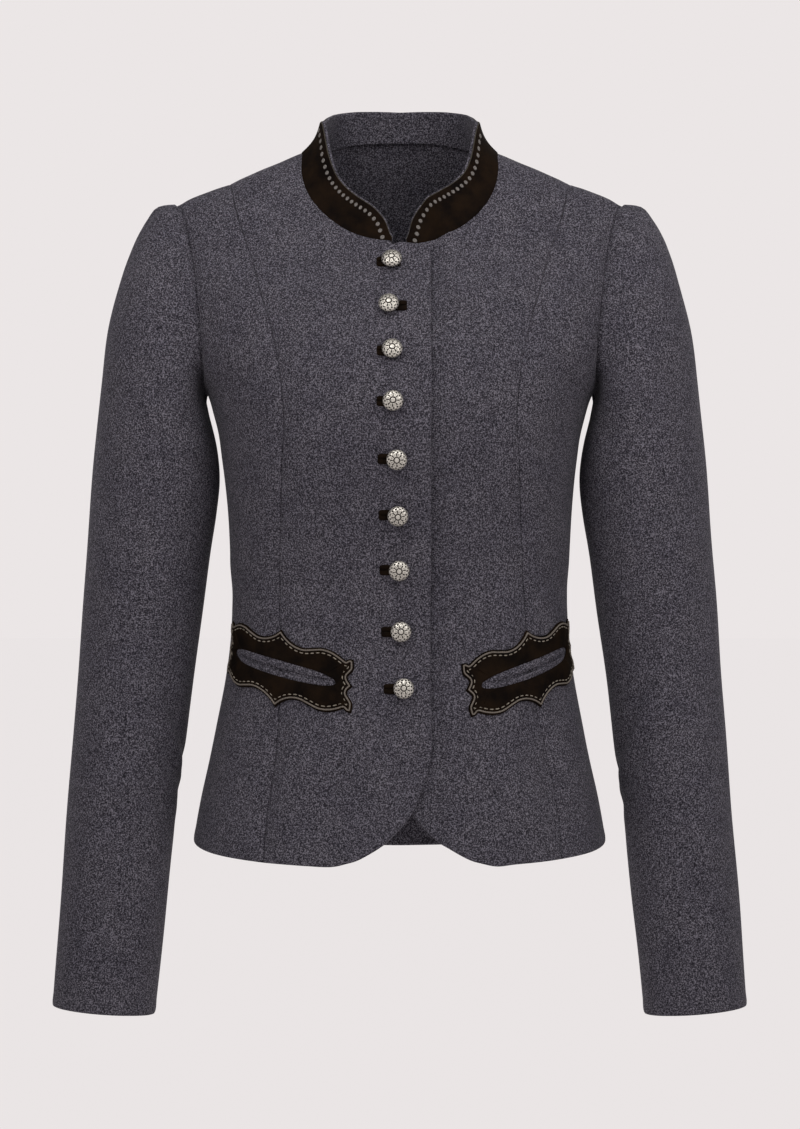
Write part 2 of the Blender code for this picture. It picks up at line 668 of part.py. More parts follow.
def pocket_outline():
    """The whole scalloped outline, and the slit's outline with a point for each of its points."""
    quarter = np.array(SCALLOP)
    end = np.array([[61.5, 0.0]])
    upper = np.concatenate([quarter, end, quarter[:0:-1] * (1, -1)])
    lower = -upper
    outline = np.concatenate([upper, lower])
    turn = np.arctan2(outline[:, 1] / 26.0, outline[:, 0] / 62.0)
    cosine = np.cos(turn)
    sine = np.sin(turn)
    slit = np.stack([
        SLIT_HALF_LENGTH * np.sign(cosine) * np.abs(cosine) ** 0.6,
        SLIT_HALF_HEIGHT * np.sign(sine) * np.abs(sine) ** 0.6,
    ], axis=1)
    return outline, slit


def patch_faces(place):
    outline, slit = pocket_outline()
    share = np.linspace(0.0, 1.0, PATCH_ROWS + 1)[None, :, None]
    grid = slit[:, None] * (1 - share) + outline[:, None] * share
    across, z = pocket_point(place, grid[..., 0], grid[..., 1])
    return laid_on(across, z, LIFT, SUEDE)


def lip_faces(place, side):
    """A loden lip that fills one half of the slit; side is 1 above and -1 below."""
    u = np.linspace(-LIP_HALF_LENGTH, LIP_HALF_LENGTH, LIP_COLUMNS + 1)
    cosine = (np.abs(u) / SLIT_HALF_LENGTH) ** (1 / 0.6)
    far = SLIT_HALF_HEIGHT * np.sqrt(1 - cosine**2) ** 0.6 - LIP_CLEARANCE
    v = side * np.stack([np.full_like(far, LIP_CLEARANCE / 2), far], axis=1)
    across, z = pocket_point(place, np.repeat(u[:, None], 2, axis=1), v)
    return laid_on(across, z, LIFT, CLOTH * 0.6)


def buttonhole_faces(place):
    """A bound buttonhole: a suede strip with clipped corners on the right front."""
    middle = place.x + place.loop_side * HOLE_OFFSET
    xs = np.linspace(-HOLE_LENGTH / 2, HOLE_LENGTH / 2, HOLE_COLUMNS + 1)
    half = HOLE_HEIGHT / 2 * np.where(np.abs(xs) > HOLE_LENGTH * 0.49, 0.62, 1.0)
    cut = np.array([
        [locate(middle + x, place.z - side * h) for side in (1, -1)] for x, h in zip(xs, half)
    ])
    points = body_point(cut[..., 0], cut[..., 1])
    normal = body_normal(cut[..., 0], cut[..., 1])
    return points + normal * (LIFT + HOLE_WALL), points + normal * LIFT


def make_button(name, place, finish, collection):
    """A domed button, turned about its own axis, with its back towards the cloth."""
    dome = [
        (BUTTON_RADIUS * math.sin(a), BUTTON_STAND + 1.0 + (BUTTON_RISE - 1.0) * math.cos(a))
        for a in (math.radians(d) for d in (0, 28, 52, 74, 90))
    ]
    rim = [(BUTTON_RADIUS - 0.4, BUTTON_STAND), (SHANK_RADIUS, BUTTON_STAND)]
    profile = dome + rim + [(SHANK_RADIUS, 0.0), (0.0, 0.0)]
    mesh = bpy.data.meshes.new(name)
    points = [(x * MM, 0.0, z * MM) for x, z in profile]
    mesh.from_pydata(points, [(i, i + 1) for i in range(len(points) - 1)], [])
    mesh.materials.append(finish)
    obj = bpy.data.objects.new(name, mesh)
    collection.objects.link(obj)
    turning = obj.modifiers.new("Turning", "SCREW")
    turning.axis = "Z"
    turning.angle = 2 * math.pi
    turning.steps = BUTTON_SEGMENTS
    turning.render_steps = BUTTON_SEGMENTS
    turning.use_merge_vertices = True
    turning.merge_threshold = 0.00001
    turning.use_smooth_shade = True
    angle, level = locate(place.x, place.z)
    spot = body_point(angle, level)
    normal = body_normal(angle, level)
    obj.location = (spot + normal * BUTTON_LIFT) * MM
    obj.rotation_mode = "QUATERNION"
    from_z = np.array([0.0, 0.0, 1.0])
    axis = np.cross(from_z, normal)
    half = math.acos(float(normal[2])) / 2
    axis = axis / np.linalg.norm(axis) * math.sin(half)
    obj.rotation_quaternion = (math.cos(half), *axis)
    return obj


def make_finish(name, finish):
    material = bpy.data.materials.new(name)
    material.use_nodes = True
    shader = material.node_tree.nodes["Principled BSDF"]
    shader.inputs["Base Color"].default_value = finish.colour
    shader.inputs["Roughness"].default_value = finish.roughness
    shader.inputs["Metallic"].default_value = finish.metallic
    return material


def main():
    for obj in list(bpy.data.objects):
        bpy.data.objects.remove(obj, do_unlink=True)
    jacket = bpy.data.collections.new("Tyrolean loden jacket")
    bpy.context.scene.collection.children.link(jacket)
    kinds = {name: make_finish(name, finish) for name, finish in FINISHES.items()}

    def add(name, kind, faces, wrapped=False):
        return add_mesh(name, kinds[kind], jacket, *shell_mesh(*faces, wrapped=wrapped))

    right_front = front_grid(PRINCESS_RIGHT, OVERLAP_EDGE_X, 0.0)
    left_front = front_grid(PRINCESS_LEFT, -UNDERLAP_EDGE_X, LEFT_CORNER_SHIFT)
    side_back = side_back_grid()
    add("front_right", "loden", panel_faces(right_front, True, False))
    add("front_left", "loden", panel_faces(left_front, False, True))
    add("side_front_right", "loden", panel_faces(side_front_grid(PRINCESS_RIGHT), True, False))
    add("side_front_left", "loden", panel_faces(side_front_grid(PRINCESS_LEFT), False, False))
    add("side_back_right", "loden", panel_faces(side_back, True, False))
    add("side_back_left", "loden", panel_faces(side_back, False, False))
    add("back", "loden", panel_faces(back_grid(), False, False))

    sleeve = sleeve_grid()
    sleeve_inner = sleeve - grid_normals(sleeve) * CLOTH
    add("sleeve_left", "loden", (sleeve, sleeve_inner), True)
    flip = np.array([-1.0, 1.0, 1.0])
    add("sleeve_right", "loden", (sleeve * flip, sleeve_inner * flip), True)

    collar, collar_normal = collar_faces()
    add("collar_suede", "suede", (collar, collar - collar_normal * SUEDE))
    facing = collar - collar_normal * (SUEDE + 2 * SEAM_HALF_GAP)
    add("collar_facing", "loden", (facing, facing - collar_normal * CLOTH))

    for place in POCKETS:
        add(f"pocket_patch_{place.name}", "suede", patch_faces(place), True)
        add(f"pocket_lip_upper_{place.name}", "loden", lip_faces(place, 1))
        add(f"pocket_lip_lower_{place.name}", "loden", lip_faces(place, -1))

    for number, place in enumerate(BUTTONS, 1):
        add(f"buttonhole_{number}", "suede", buttonhole_faces(place))
        make_button(f"button_{number}", place, kinds["metal"], jacket)


main()
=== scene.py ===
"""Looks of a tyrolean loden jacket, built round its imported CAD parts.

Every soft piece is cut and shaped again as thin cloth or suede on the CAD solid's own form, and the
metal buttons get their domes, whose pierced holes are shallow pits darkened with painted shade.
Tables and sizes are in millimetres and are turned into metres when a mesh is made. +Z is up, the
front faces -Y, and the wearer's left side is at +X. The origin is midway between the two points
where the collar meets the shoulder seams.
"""
import logging  # noqa: E402
import math  # noqa: E402
from dataclasses import dataclass, field  # noqa: E402
from enum import Enum  # noqa: E402
from typing import Callable, NamedTuple, Optional, Sequence  # noqa: E402

import bpy  # noqa: E402
import numpy as np  # noqa: E402
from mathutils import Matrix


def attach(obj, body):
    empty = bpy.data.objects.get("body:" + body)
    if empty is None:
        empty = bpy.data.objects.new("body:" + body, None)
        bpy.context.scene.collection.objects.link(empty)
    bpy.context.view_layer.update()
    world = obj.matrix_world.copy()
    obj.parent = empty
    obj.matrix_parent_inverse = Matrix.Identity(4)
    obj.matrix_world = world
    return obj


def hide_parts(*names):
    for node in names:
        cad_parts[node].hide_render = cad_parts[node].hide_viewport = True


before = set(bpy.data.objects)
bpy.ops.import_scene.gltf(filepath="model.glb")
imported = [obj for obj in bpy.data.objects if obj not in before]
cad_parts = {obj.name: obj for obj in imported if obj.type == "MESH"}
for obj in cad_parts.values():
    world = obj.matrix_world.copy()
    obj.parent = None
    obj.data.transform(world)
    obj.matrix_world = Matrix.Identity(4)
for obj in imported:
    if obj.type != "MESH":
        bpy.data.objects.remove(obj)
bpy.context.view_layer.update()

log = logging.getLogger("jacket")
MM = 0.001
Array = np.ndarray
Faces = list[tuple[int, ...]]


class Side(Enum):
    """The wearer's side that a piece is on, as the sign of its X."""

    RIGHT = -1
    LEFT = 1


class Edge(Enum):
    """How a cut edge of the cloth is finished."""

    SEAM = "sewn to its neighbour, rolled into a groove"
    TURNED = "turned in and pressed to a rounded fold"
    COVERED = "flat, under the collar"


# ---- Curves and small helpers --------------------------------------------------------------------


def smooth_value(places: Sequence[float], values: Sequence[float], at: Array) -> Array:
    """Reads a smooth curve through a table's values.

    Args:
        places: Where the table's values stand, rising.
        values: The values.
        at: Places to read at.

    Returns:
        The curve's values there.
    """
    places = np.asarray(places, float)
    values = np.asarray(values, float)
    steps = np.diff(places)
    slopes = np.diff(values) / steps
    tangents = np.empty_like(values)
    tangents[0], tangents[-1] = slopes[0], slopes[-1]
    weights = steps[1:] + steps[:-1]
    tangents[1:-1] = (slopes[:-1] * steps[1:] + slopes[1:] * steps[:-1]) / weights
    at = np.clip(at, places[0], places[-1])
    index = np.clip(np.searchsorted(places, at, side="right") - 1, 0, len(places) - 2)
    t = (at - places[index]) / steps[index]
    return (
        values[index] * (1 + 2 * t) * (1 - t) ** 2
        + tangents[index] * steps[index] * t * (1 - t) ** 2
        + values[index + 1] * t * t * (3 - 2 * t)
        + tangents[index + 1] * steps[index] * t * t * (t - 1)
    )


def ease(t: Array) -> Array:
    """Smooth step from 0 to 1 as t goes from 0 to 1."""
    t = np.clip(t, 0.0, 1.0)
    return t * t * (3 - 2 * t)


def rolled(distance: Array, radius: float) -> Array:
    """A quarter-round edge: 1 at the edge, falling to 0 at the radius."""
    t = np.clip(1 - distance / radius, 0.0, 1.0)
    return 1 - np.sqrt(1 - t * t)


def unit(vectors: Array) -> Array:
    """Vectors scaled to length 1 along their last axis."""
    return vectors / np.linalg.norm(vectors, axis=-1, keepdims=True)


def run_length(points: Array, axis: int = 0) -> Array:
    """Distance run along one axis of a grid of points, starting at 0."""
    steps = np.linalg.norm(np.diff(points, axis=axis), axis=-1)
    start = np.zeros_like(np.take(steps, [0], axis=axis))
    return np.cumsum(np.concatenate([start, steps], axis=axis), axis=axis)


def straight_between(places: Array, points: Array, wanted: Array) -> Array:
    """Points stored at places, read at wanted places of any shape."""
    columns = range(points.shape[1])
    return np.stack([np.interp(wanted, places, points[:, k]) for k in columns], axis=-1)


def smooth_between(places: Sequence[float], points: Array, wanted: Array) -> Array:
    """Points of a smooth curve through points stored at places."""
    columns = range(points.shape[1])
    return np.stack([smooth_value(places, points[:, k], wanted) for k in columns], axis=-1)


def read_line(line: Array, shares: Array) -> Array:
    """Points of an evenly numbered line at shares from 0 to 1 of its run."""
    return straight_between(np.linspace(0.0, 1.0, len(line)), line, shares)


def at_distance(path: Array, distances: Array) -> Array:
    """Points of a path at distances along it."""
    return straight_between(run_length(path), path, distances)


def bell(distance: Array, width: float, power: int = 2) -> Array:
    """A soft bump: 1 in its middle, fading over a width; a higher power flattens its top."""
    return np.exp(-((distance / width) ** power))


def rows(kind: Callable, table: Sequence[Sequence]) -> tuple:
    """Each row of a table as a value of a kind."""
    return tuple(kind(*row) for row in table)


def cut_lines(length: float, pitch: float) -> Array:
    """Shares of a run at which grid lines lie: close together near both ends, then at a pitch."""
    near = np.array((0.0, 0.25, 0.6, 1.1, 1.8, 2.8, 4.2)) / length
    room = 1 - 2 * near[-1]
    count = max(2, int(round(room * length / pitch)))
    middle = np.linspace(near[-1], 1 - near[-1], count + 1)[1:-1]
    return np.concatenate([near, middle, 1 - near[::-1]])


def ripple(points: Array, seed: float = 0.0) -> Array:
    """Slight unevenness of hanging cloth, between about -1 and 1, the same on each run."""
    x, y, z = points[..., 0], points[..., 1], points[..., 2]
    return (
        0.40 * np.sin(x / 23.0 + y / 31.0 + 0.7 + seed) * np.sin(z / 34.0 + 1.1)
        + 0.33 * np.sin((x + z) / 47.0 - y / 39.0 + 2.0 + seed)
        + 0.27 * np.sin(x / 13.0 - z / 19.0 + y / 17.0 + 0.4)
    )


@dataclass(frozen=True)
class SoftFold:
    """A soft ridge, or a trough where its height is negative, along a line on the flat cloth.

    Attributes:
        start: One end, as distances across and along the cloth.
        end: The other end.
        width: Half width at which it has mostly faded.
        height: How far it stands out at its middle.
    """

    start: tuple[float, float]
    end: tuple[float, float]
    width: float
    height: float

    def offset(self, across: Array, along: Array) -> Array:
        """How far the fold moves the cloth out at each place."""
        line = np.subtract(self.end, self.start)
        length = float(np.hypot(*line))
        u, v = line / length
        right = across - self.start[0]
        down = along - self.start[1]
        run = right * u + down * v
        aside = right * v - down * u
        past = np.maximum(np.maximum(-run, run - length), 0.0)
        fade = 0.55 + 0.45 * np.sin(np.pi * np.clip(run / length, 0.0, 1.0))
        reach = np.hypot(aside, past * 0.45) / self.width
        return self.height * fade * bell(reach, 1.0)


# ---- Meshes --------------------------------------------------------------------------------------


class MeshParts:
    """Gathers points and faces, in millimetres, for one object."""

    def __init__(self) -> None:
        """Starts with nothing."""
        self.points: list[Array] = []
        self.faces: Faces = []
        self.marks: list[Array] = []
        self.size = 0

    def add(self, points: Array, faces: Faces, marks: Optional[Array] = None) -> None:
        """Adds one part, with a value per point where it has one; a button's is how raised it is, which
        its material turns into painted shade.
        """
        points = points.reshape(-1, 3)
        self.points.append(points)
        self.faces += [tuple(self.size + corner for corner in face) for face in faces]
        self.marks.append(np.zeros(len(points)) if marks is None else marks.reshape(-1))
        self.size += len(points)

    def build(self, name: str, mark: str = "") -> bpy.types.Object:
        """Makes the object.

        Args:
            name: The object's name.
            mark: Name of the per-point value to store, or nothing.

        Returns:
            The new object, smooth shaded and linked to the scene.
        """
        mesh = bpy.data.meshes.new(name)
        points = np.concatenate(self.points) * MM
        mesh.from_pydata(points.tolist(), [], self.faces)
        mesh.polygons.foreach_set("use_smooth", [True] * len(mesh.polygons))
        if mark:
            stored = mesh.attributes.new(mark, "FLOAT", "POINT")
            stored.data.foreach_set("value", np.concatenate(self.marks).astype(np.float32))
        mesh.update()
        obj = bpy.data.objects.new(name, mesh)
        bpy.context.scene.collection.objects.link(obj)
        return obj


def turned_out(outer: Array, inner: Array, faces: Faces, wrapped: bool) -> Faces:
    """Faces turned so that they point out of a wall from its inner to its outer points."""
    columns, rows = outer.shape[:2]
    i, j = (columns // 2, rows // 2)
    nxt = (i + 1) % columns if wrapped else min(i + 1, columns - 1)
    across = outer[nxt, j] - outer[i, j]
    up = outer[i, min(j + 1, rows - 1)] - outer[i, j]
    right_way = np.dot(np.cross(across, up), outer[i, j] - inner[i, j]) > 0
    return faces if right_way else [face[::-1] for face in faces]


def wall(outer: Array, inner: Array, wrapped: bool = False) -> tuple[Array, Faces]:
    """A closed thin wall between two grids of points.

    Args:
        outer: Outer points, columns by rows.
        inner: Inner points in the same order.
        wrapped: Whether the last column joins the first, as on a tube.

    Returns:
        Points and outward faces.
    """
    columns, rows = outer.shape[:2]
    size = columns * rows
    last = columns if wrapped else columns - 1
    i = np.repeat(np.arange(last), rows - 1)
    j = np.tile(np.arange(rows - 1), last)
    here = i * rows + j
    there = (i + 1) % columns * rows + j
    quads = [
        np.stack([here, there, there + 1, here + 1], axis=1),
        np.stack([size + here, size + here + 1, size + there + 1, size + there], axis=1),
    ]
    i = np.arange(last)
    here, there = i * rows, (i + 1) % columns * rows
    quads.append(np.stack([there, here, size + here, size + there], axis=1))
    here, there = here + rows - 1, there + rows - 1
    quads.append(np.stack([here, there, size + there, size + here], axis=1))
    if not wrapped:
        j = np.arange(rows - 1)
        quads.append(np.stack([j, j + 1, size + j + 1, size + j], axis=1))
        j = j + (columns - 1) * rows
        quads.append(np.stack([j + 1, j, size + j, size + j + 1], axis=1))
    faces = [tuple(face) for face in np.concatenate(quads).tolist()]
    points = np.concatenate([outer.reshape(-1, 3), inner.reshape(-1, 3)])
    return points, turned_out(outer, inner, faces, wrapped)


def tube(
    path: Array, up: Array, radius: Array, sides: int = 8, closed: bool = False
) -> tuple[Array, Faces]:
    """A round cord along a path.

    Args:
        path: Points along its middle.
        up: A direction at each point that is square to the path, such as the cloth's normal.
        radius: Radius at each point.
        sides: Points round it.
        closed: Whether its end joins its start.

    Returns:
        Points and faces, with closed ends where it isn't a ring.
    """
    ahead = np.roll(path, -1, axis=0) - np.roll(path, 1, axis=0) if closed else np.gradient(path, axis=0)
    side = unit(np.cross(unit(ahead), up))
    top = unit(np.cross(side, unit(ahead)))
    turn = np.linspace(0.0, 2 * math.pi, sides, endpoint=False)
    ring = np.cos(turn)[None, :, None] * side[:, None] + np.sin(turn)[None, :, None] * top[:, None]
    points = path[:, None] + ring * np.broadcast_to(radius, len(path))[:, None, None]
    count = len(path)
    faces: Faces = []
    for i in range(count if closed else count - 1):
        nxt = (i + 1) % count
        for k in range(sides):
            m = (k + 1) % sides
            faces.append((i * sides + k, i * sides + m, nxt * sides + m, nxt * sides + k))
    if not closed:
        faces.append(tuple(range(sides))[::-1])
        faces.append(tuple((count - 1) * sides + k for k in range(sides)))
    return points.reshape(-1, 3), faces


def spaced(path: Array, pitch: float, start: float = 0.0) -> Array:
    """Distances along a path at an even pitch that fits it a whole number of times."""
    total = float(run_length(path)[-1]) - start
    count = max(1, int(round(total / pitch)))
    return start + (np.arange(count) + 0.5) * total / count


# ---- Finishes ------------------------------------------------------------------------------------


class NodeBoard:
    """A material's node tree, with short ways to add and join nodes."""

    def __init__(self, name: str) -> None:
        """Starts a material with its main shader."""
        self.material = bpy.data.materials.new(name)
        self.material.use_nodes = True
        self.tree = self.material.node_tree
        self.shader = self.tree.nodes["Principled BSDF"]

    def add(self, kind: str, **settings: object) -> bpy.types.Node:
        """Adds a node and sets its properties."""
        node = self.tree.nodes.new(kind)
        for key, value in settings.items():
            setattr(node, key, value)
        return node

    def join(self, output: bpy.types.NodeSocket, socket: bpy.types.NodeSocket) -> None:
        """Joins an output to an input."""
        self.tree.links.new(output, socket)

    def place(self) -> bpy.types.NodeSocket:
        """The piece's own coordinates, in metres."""
        return self.add("ShaderNodeTexCoord").outputs["Object"]

    def noise(
        self, grain_mm: float, detail: float = 2.0, roughness: float = 0.5
    ) -> bpy.types.NodeSocket:
        """Noise whose grains measure about grain_mm."""
        node = self.add("ShaderNodeTexNoise")
        node.inputs["Scale"].default_value = 1 / (grain_mm * MM)
        node.inputs["Detail"].default_value = detail
        node.inputs["Roughness"].default_value = roughness
        self.join(self.place(), node.inputs["Vector"])
        return node.outputs["Fac"]

    def ramp(
        self, value: bpy.types.NodeSocket, stops: Sequence[tuple[float, Sequence[float]]]
    ) -> bpy.types.NodeSocket:
        """Colours a value by stops of place and colour."""
        node = self.add("ShaderNodeValToRGB")
        elements = node.color_ramp.elements
        while len(elements) < len(stops):
            elements.new(0.5)
        for element, (place, colour) in zip(elements, stops):
            element.position = place
            element.color = (*colour, 1.0)
        self.join(value, node.inputs["Fac"])
        return node.outputs["Color"]

    def mix(
        self, share: object, first: object, second: object, blend: str = "MIX"
    ) -> bpy.types.NodeSocket:
        """Mixes two colours, each a colour or an output, by a number or an output."""
        node = self.add("ShaderNodeMix", data_type="RGBA", blend_type=blend)
        for socket, value in ((node.inputs[0], share), (node.inputs[6], first), (node.inputs[7], second)):
            if isinstance(value, bpy.types.NodeSocket):
                self.join(value, socket)
            else:
                socket.default_value = value if isinstance(value, float) else (*value, 1.0)
        return node.outputs[2]

    def sum(self, parts: Sequence[tuple[float, bpy.types.NodeSocket]]) -> bpy.types.NodeSocket:
        """A weighted sum of values."""
        total: Optional[bpy.types.NodeSocket] = None
        for weight, value in parts:
            node = self.add("ShaderNodeMath", operation="MULTIPLY_ADD")
            self.join(value, node.inputs[0])
            node.inputs[1].default_value = weight
            if total is not None:
                self.join(total, node.inputs[2])
            else:
                node.inputs[2].default_value = 0.0
            total = node.outputs[0]
        return total

    def bump(self, height: bpy.types.NodeSocket, depth_mm: float, strength: float) -> None:
        """Roughens the surface by a height."""
        node = self.add("ShaderNodeBump")
        node.inputs["Distance"].default_value = depth_mm * MM
        node.inputs["Strength"].default_value = strength
        self.join(height, node.inputs["Height"])
        self.join(node.outputs["Normal"], self.shader.inputs["Normal"])

    def set(self, **values: object) -> None:
        """Sets the shader's own sockets by name, with _ for a space."""
        for key, value in values.items():
            self.shader.inputs[key.replace("_", " ")].default_value = value


@dataclass(frozen=True)
class Loden:
    """Fulled wool cloth: charcoal with pale and dark hairs, and a soft nap.

    Attributes:
        dark: Colour of the darkest hairs.
        middle: Colour of most of the cloth.
        pale: Colour of the palest hairs.
        fleck_mm: Size of a fleck.
    """

    dark: tuple[float, float, float] = (0.0100, 0.0088, 0.0122)
    middle: tuple[float, float, float] = (0.0360, 0.0330, 0.0432)
    pale: tuple[float, float, float] = (0.1600, 0.1500, 0.1780)
    fleck_mm: float = 1.1
    slot: str = "loden"

    def make(self) -> bpy.types.Material:
        """Builds the material."""
        board = NodeBoard("Loden")
        flecks = board.noise(self.fleck_mm, detail=2.5, roughness=0.62)
        hairs = board.noise(self.fleck_mm * 0.45, detail=2.0, roughness=0.6)
        cloud = board.noise(26.0, detail=2.0)
        value = board.sum([(0.66, flecks), (0.34, hairs)])
        stops = ((0.42, self.dark), (0.50, self.middle), (0.59, self.pale))
        colour = board.ramp(value, stops)
        tone = board.ramp(cloud, ((0.3, (0.90, 0.90, 0.92)), (0.7, (1.08, 1.08, 1.06))))
        colour = board.mix(1.0, colour, tone, "MULTIPLY")
        board.join(colour, board.shader.inputs["Base Color"])
        board.set(Roughness=0.93, Sheen_Weight=0.06, Sheen_Roughness=0.45)
        board.set(Sheen_Tint=(0.75, 0.73, 0.80, 1.0), Specular_IOR_Level=0.18)
        board.bump(board.sum([(0.6, flecks), (0.4, hairs)]), 0.5, 0.55)
        return board.material


@dataclass(frozen=True)
class Suede:
    """Split leather: nearly black brown, short nap with brushed patches."""

    deep: tuple[float, float, float] = (0.0020, 0.0008, 0.0004)
    brushed: tuple[float, float, float] = (0.0095, 0.0048, 0.0019)
    slot: str = "suede"

    def make(self) -> bpy.types.Material:
        """Builds the material."""
        board = NodeBoard("Suede")
        patches = board.noise(17.0, detail=3.0, roughness=0.6)
        nap = board.noise(0.5, detail=2.0)
        value = board.sum([(0.8, patches), (0.2, nap)])
        colour = board.ramp(value, ((0.38, self.deep), (0.62, self.brushed)))
        board.join(colour, board.shader.inputs["Base Color"])
        board.set(Roughness=0.9, Sheen_Weight=0.02, Sheen_Roughness=0.35)
        board.set(Sheen_Tint=(0.60, 0.42, 0.26, 1.0), Specular_IOR_Level=0.08)
        board.bump(nap, 0.2, 0.35)
        return board.material


@dataclass(frozen=True)
class AntiqueSilver:
    """Cast metal, bright on what is raised, with painted shade that darkens its hollows and pits."""

    bright: tuple[float, float, float] = (0.66, 0.63, 0.575)
    half_shade: tuple[float, float, float] = (0.23, 0.21, 0.185)
    hollow_shade: tuple[float, float, float] = (0.015, 0.013, 0.012)
    slot: str = "button_metal"

    def make(self) -> bpy.types.Material:
        """Builds the material; each button's mesh stores how raised it is as "raised", and lower places
        get darker painted shade.
        """
        board = NodeBoard("AntiqueSilver")
        raised = board.add("ShaderNodeAttribute", attribute_name="raised").outputs["Fac"]
        stain = board.noise(1.4, detail=3.0)
        value = board.sum([(0.88, raised), (0.12, stain)])
        # Painted shade: the lower a place lies, the darker its colour, down to near black in the pits.
        stops = ((0.30, self.hollow_shade), (0.55, self.half_shade), (0.80, self.bright))
        board.join(board.ramp(value, stops), board.shader.inputs["Base Color"])
        rough = board.ramp(value, ((0.2, (0.80,) * 3), (0.8, (0.42,) * 3)))
        board.join(rough, board.shader.inputs["Roughness"])
        board.set(Metallic=1.0)
        board.bump(board.noise(0.4), 0.05, 0.3)
        return board.material


@dataclass(frozen=True)
class Thread:
    """Matt yarn of one colour with a slight unevenness."""

    name: str
    colour: tuple[float, float, float]
    slot: str

    def make(self) -> bpy.types.Material:
        """Builds the material."""
        board = NodeBoard(self.name)
        twist = board.noise(0.6, detail=2.0)
        dark = tuple(0.62 * part for part in self.colour)
        board.join(board.ramp(twist, ((0.35, dark), (0.6, self.colour))),
            board.shader.inputs["Base Color"])
        board.set(Roughness=0.85, Specular_IOR_Level=0.25)
        board.bump(twist, 0.12, 0.5)
        return board.material


class Wardrobe:
    """Keeps one material for each finish, and dresses pieces in them."""

    def __init__(self) -> None:
        """Starts with no material made."""
        self.made: dict[object, bpy.types.Material] = {}

    def dress(
        self, piece: bpy.types.Object, finish: "Loden | Suede | AntiqueSilver | Thread"
    ) -> None:
        """Gives a piece its finish and parents it to the root body's empty."""
        if finish not in self.made:
            self.made[finish] = finish.make()
        piece.data.materials.append(self.made[finish])
        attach(piece, "root")


LODEN = Loden()
SUEDE = Suede()
SILVER = AntiqueSilver()
CORD = Thread("PatchCord", (0.165, 0.140, 0.118), "suede")
STITCH = Thread("StitchYarn", (0.270, 0.235, 0.190), "suede")
DOT = Thread("DotYarn", (0.170, 0.155, 0.145), "suede")
PIPING = Thread("EdgePiping", (0.050, 0.043, 0.032), "suede")


# ---- The body the jacket fills ------------------------------------------------------------------


class Section(NamedTuple):
    """The body's outer size at one height."""

    z: float
    half_width: float
    front: float
    back: float


class Spot(NamedTuple):
    """A place on the cloth seen straight from the front or the back."""

    x: float
    z: float


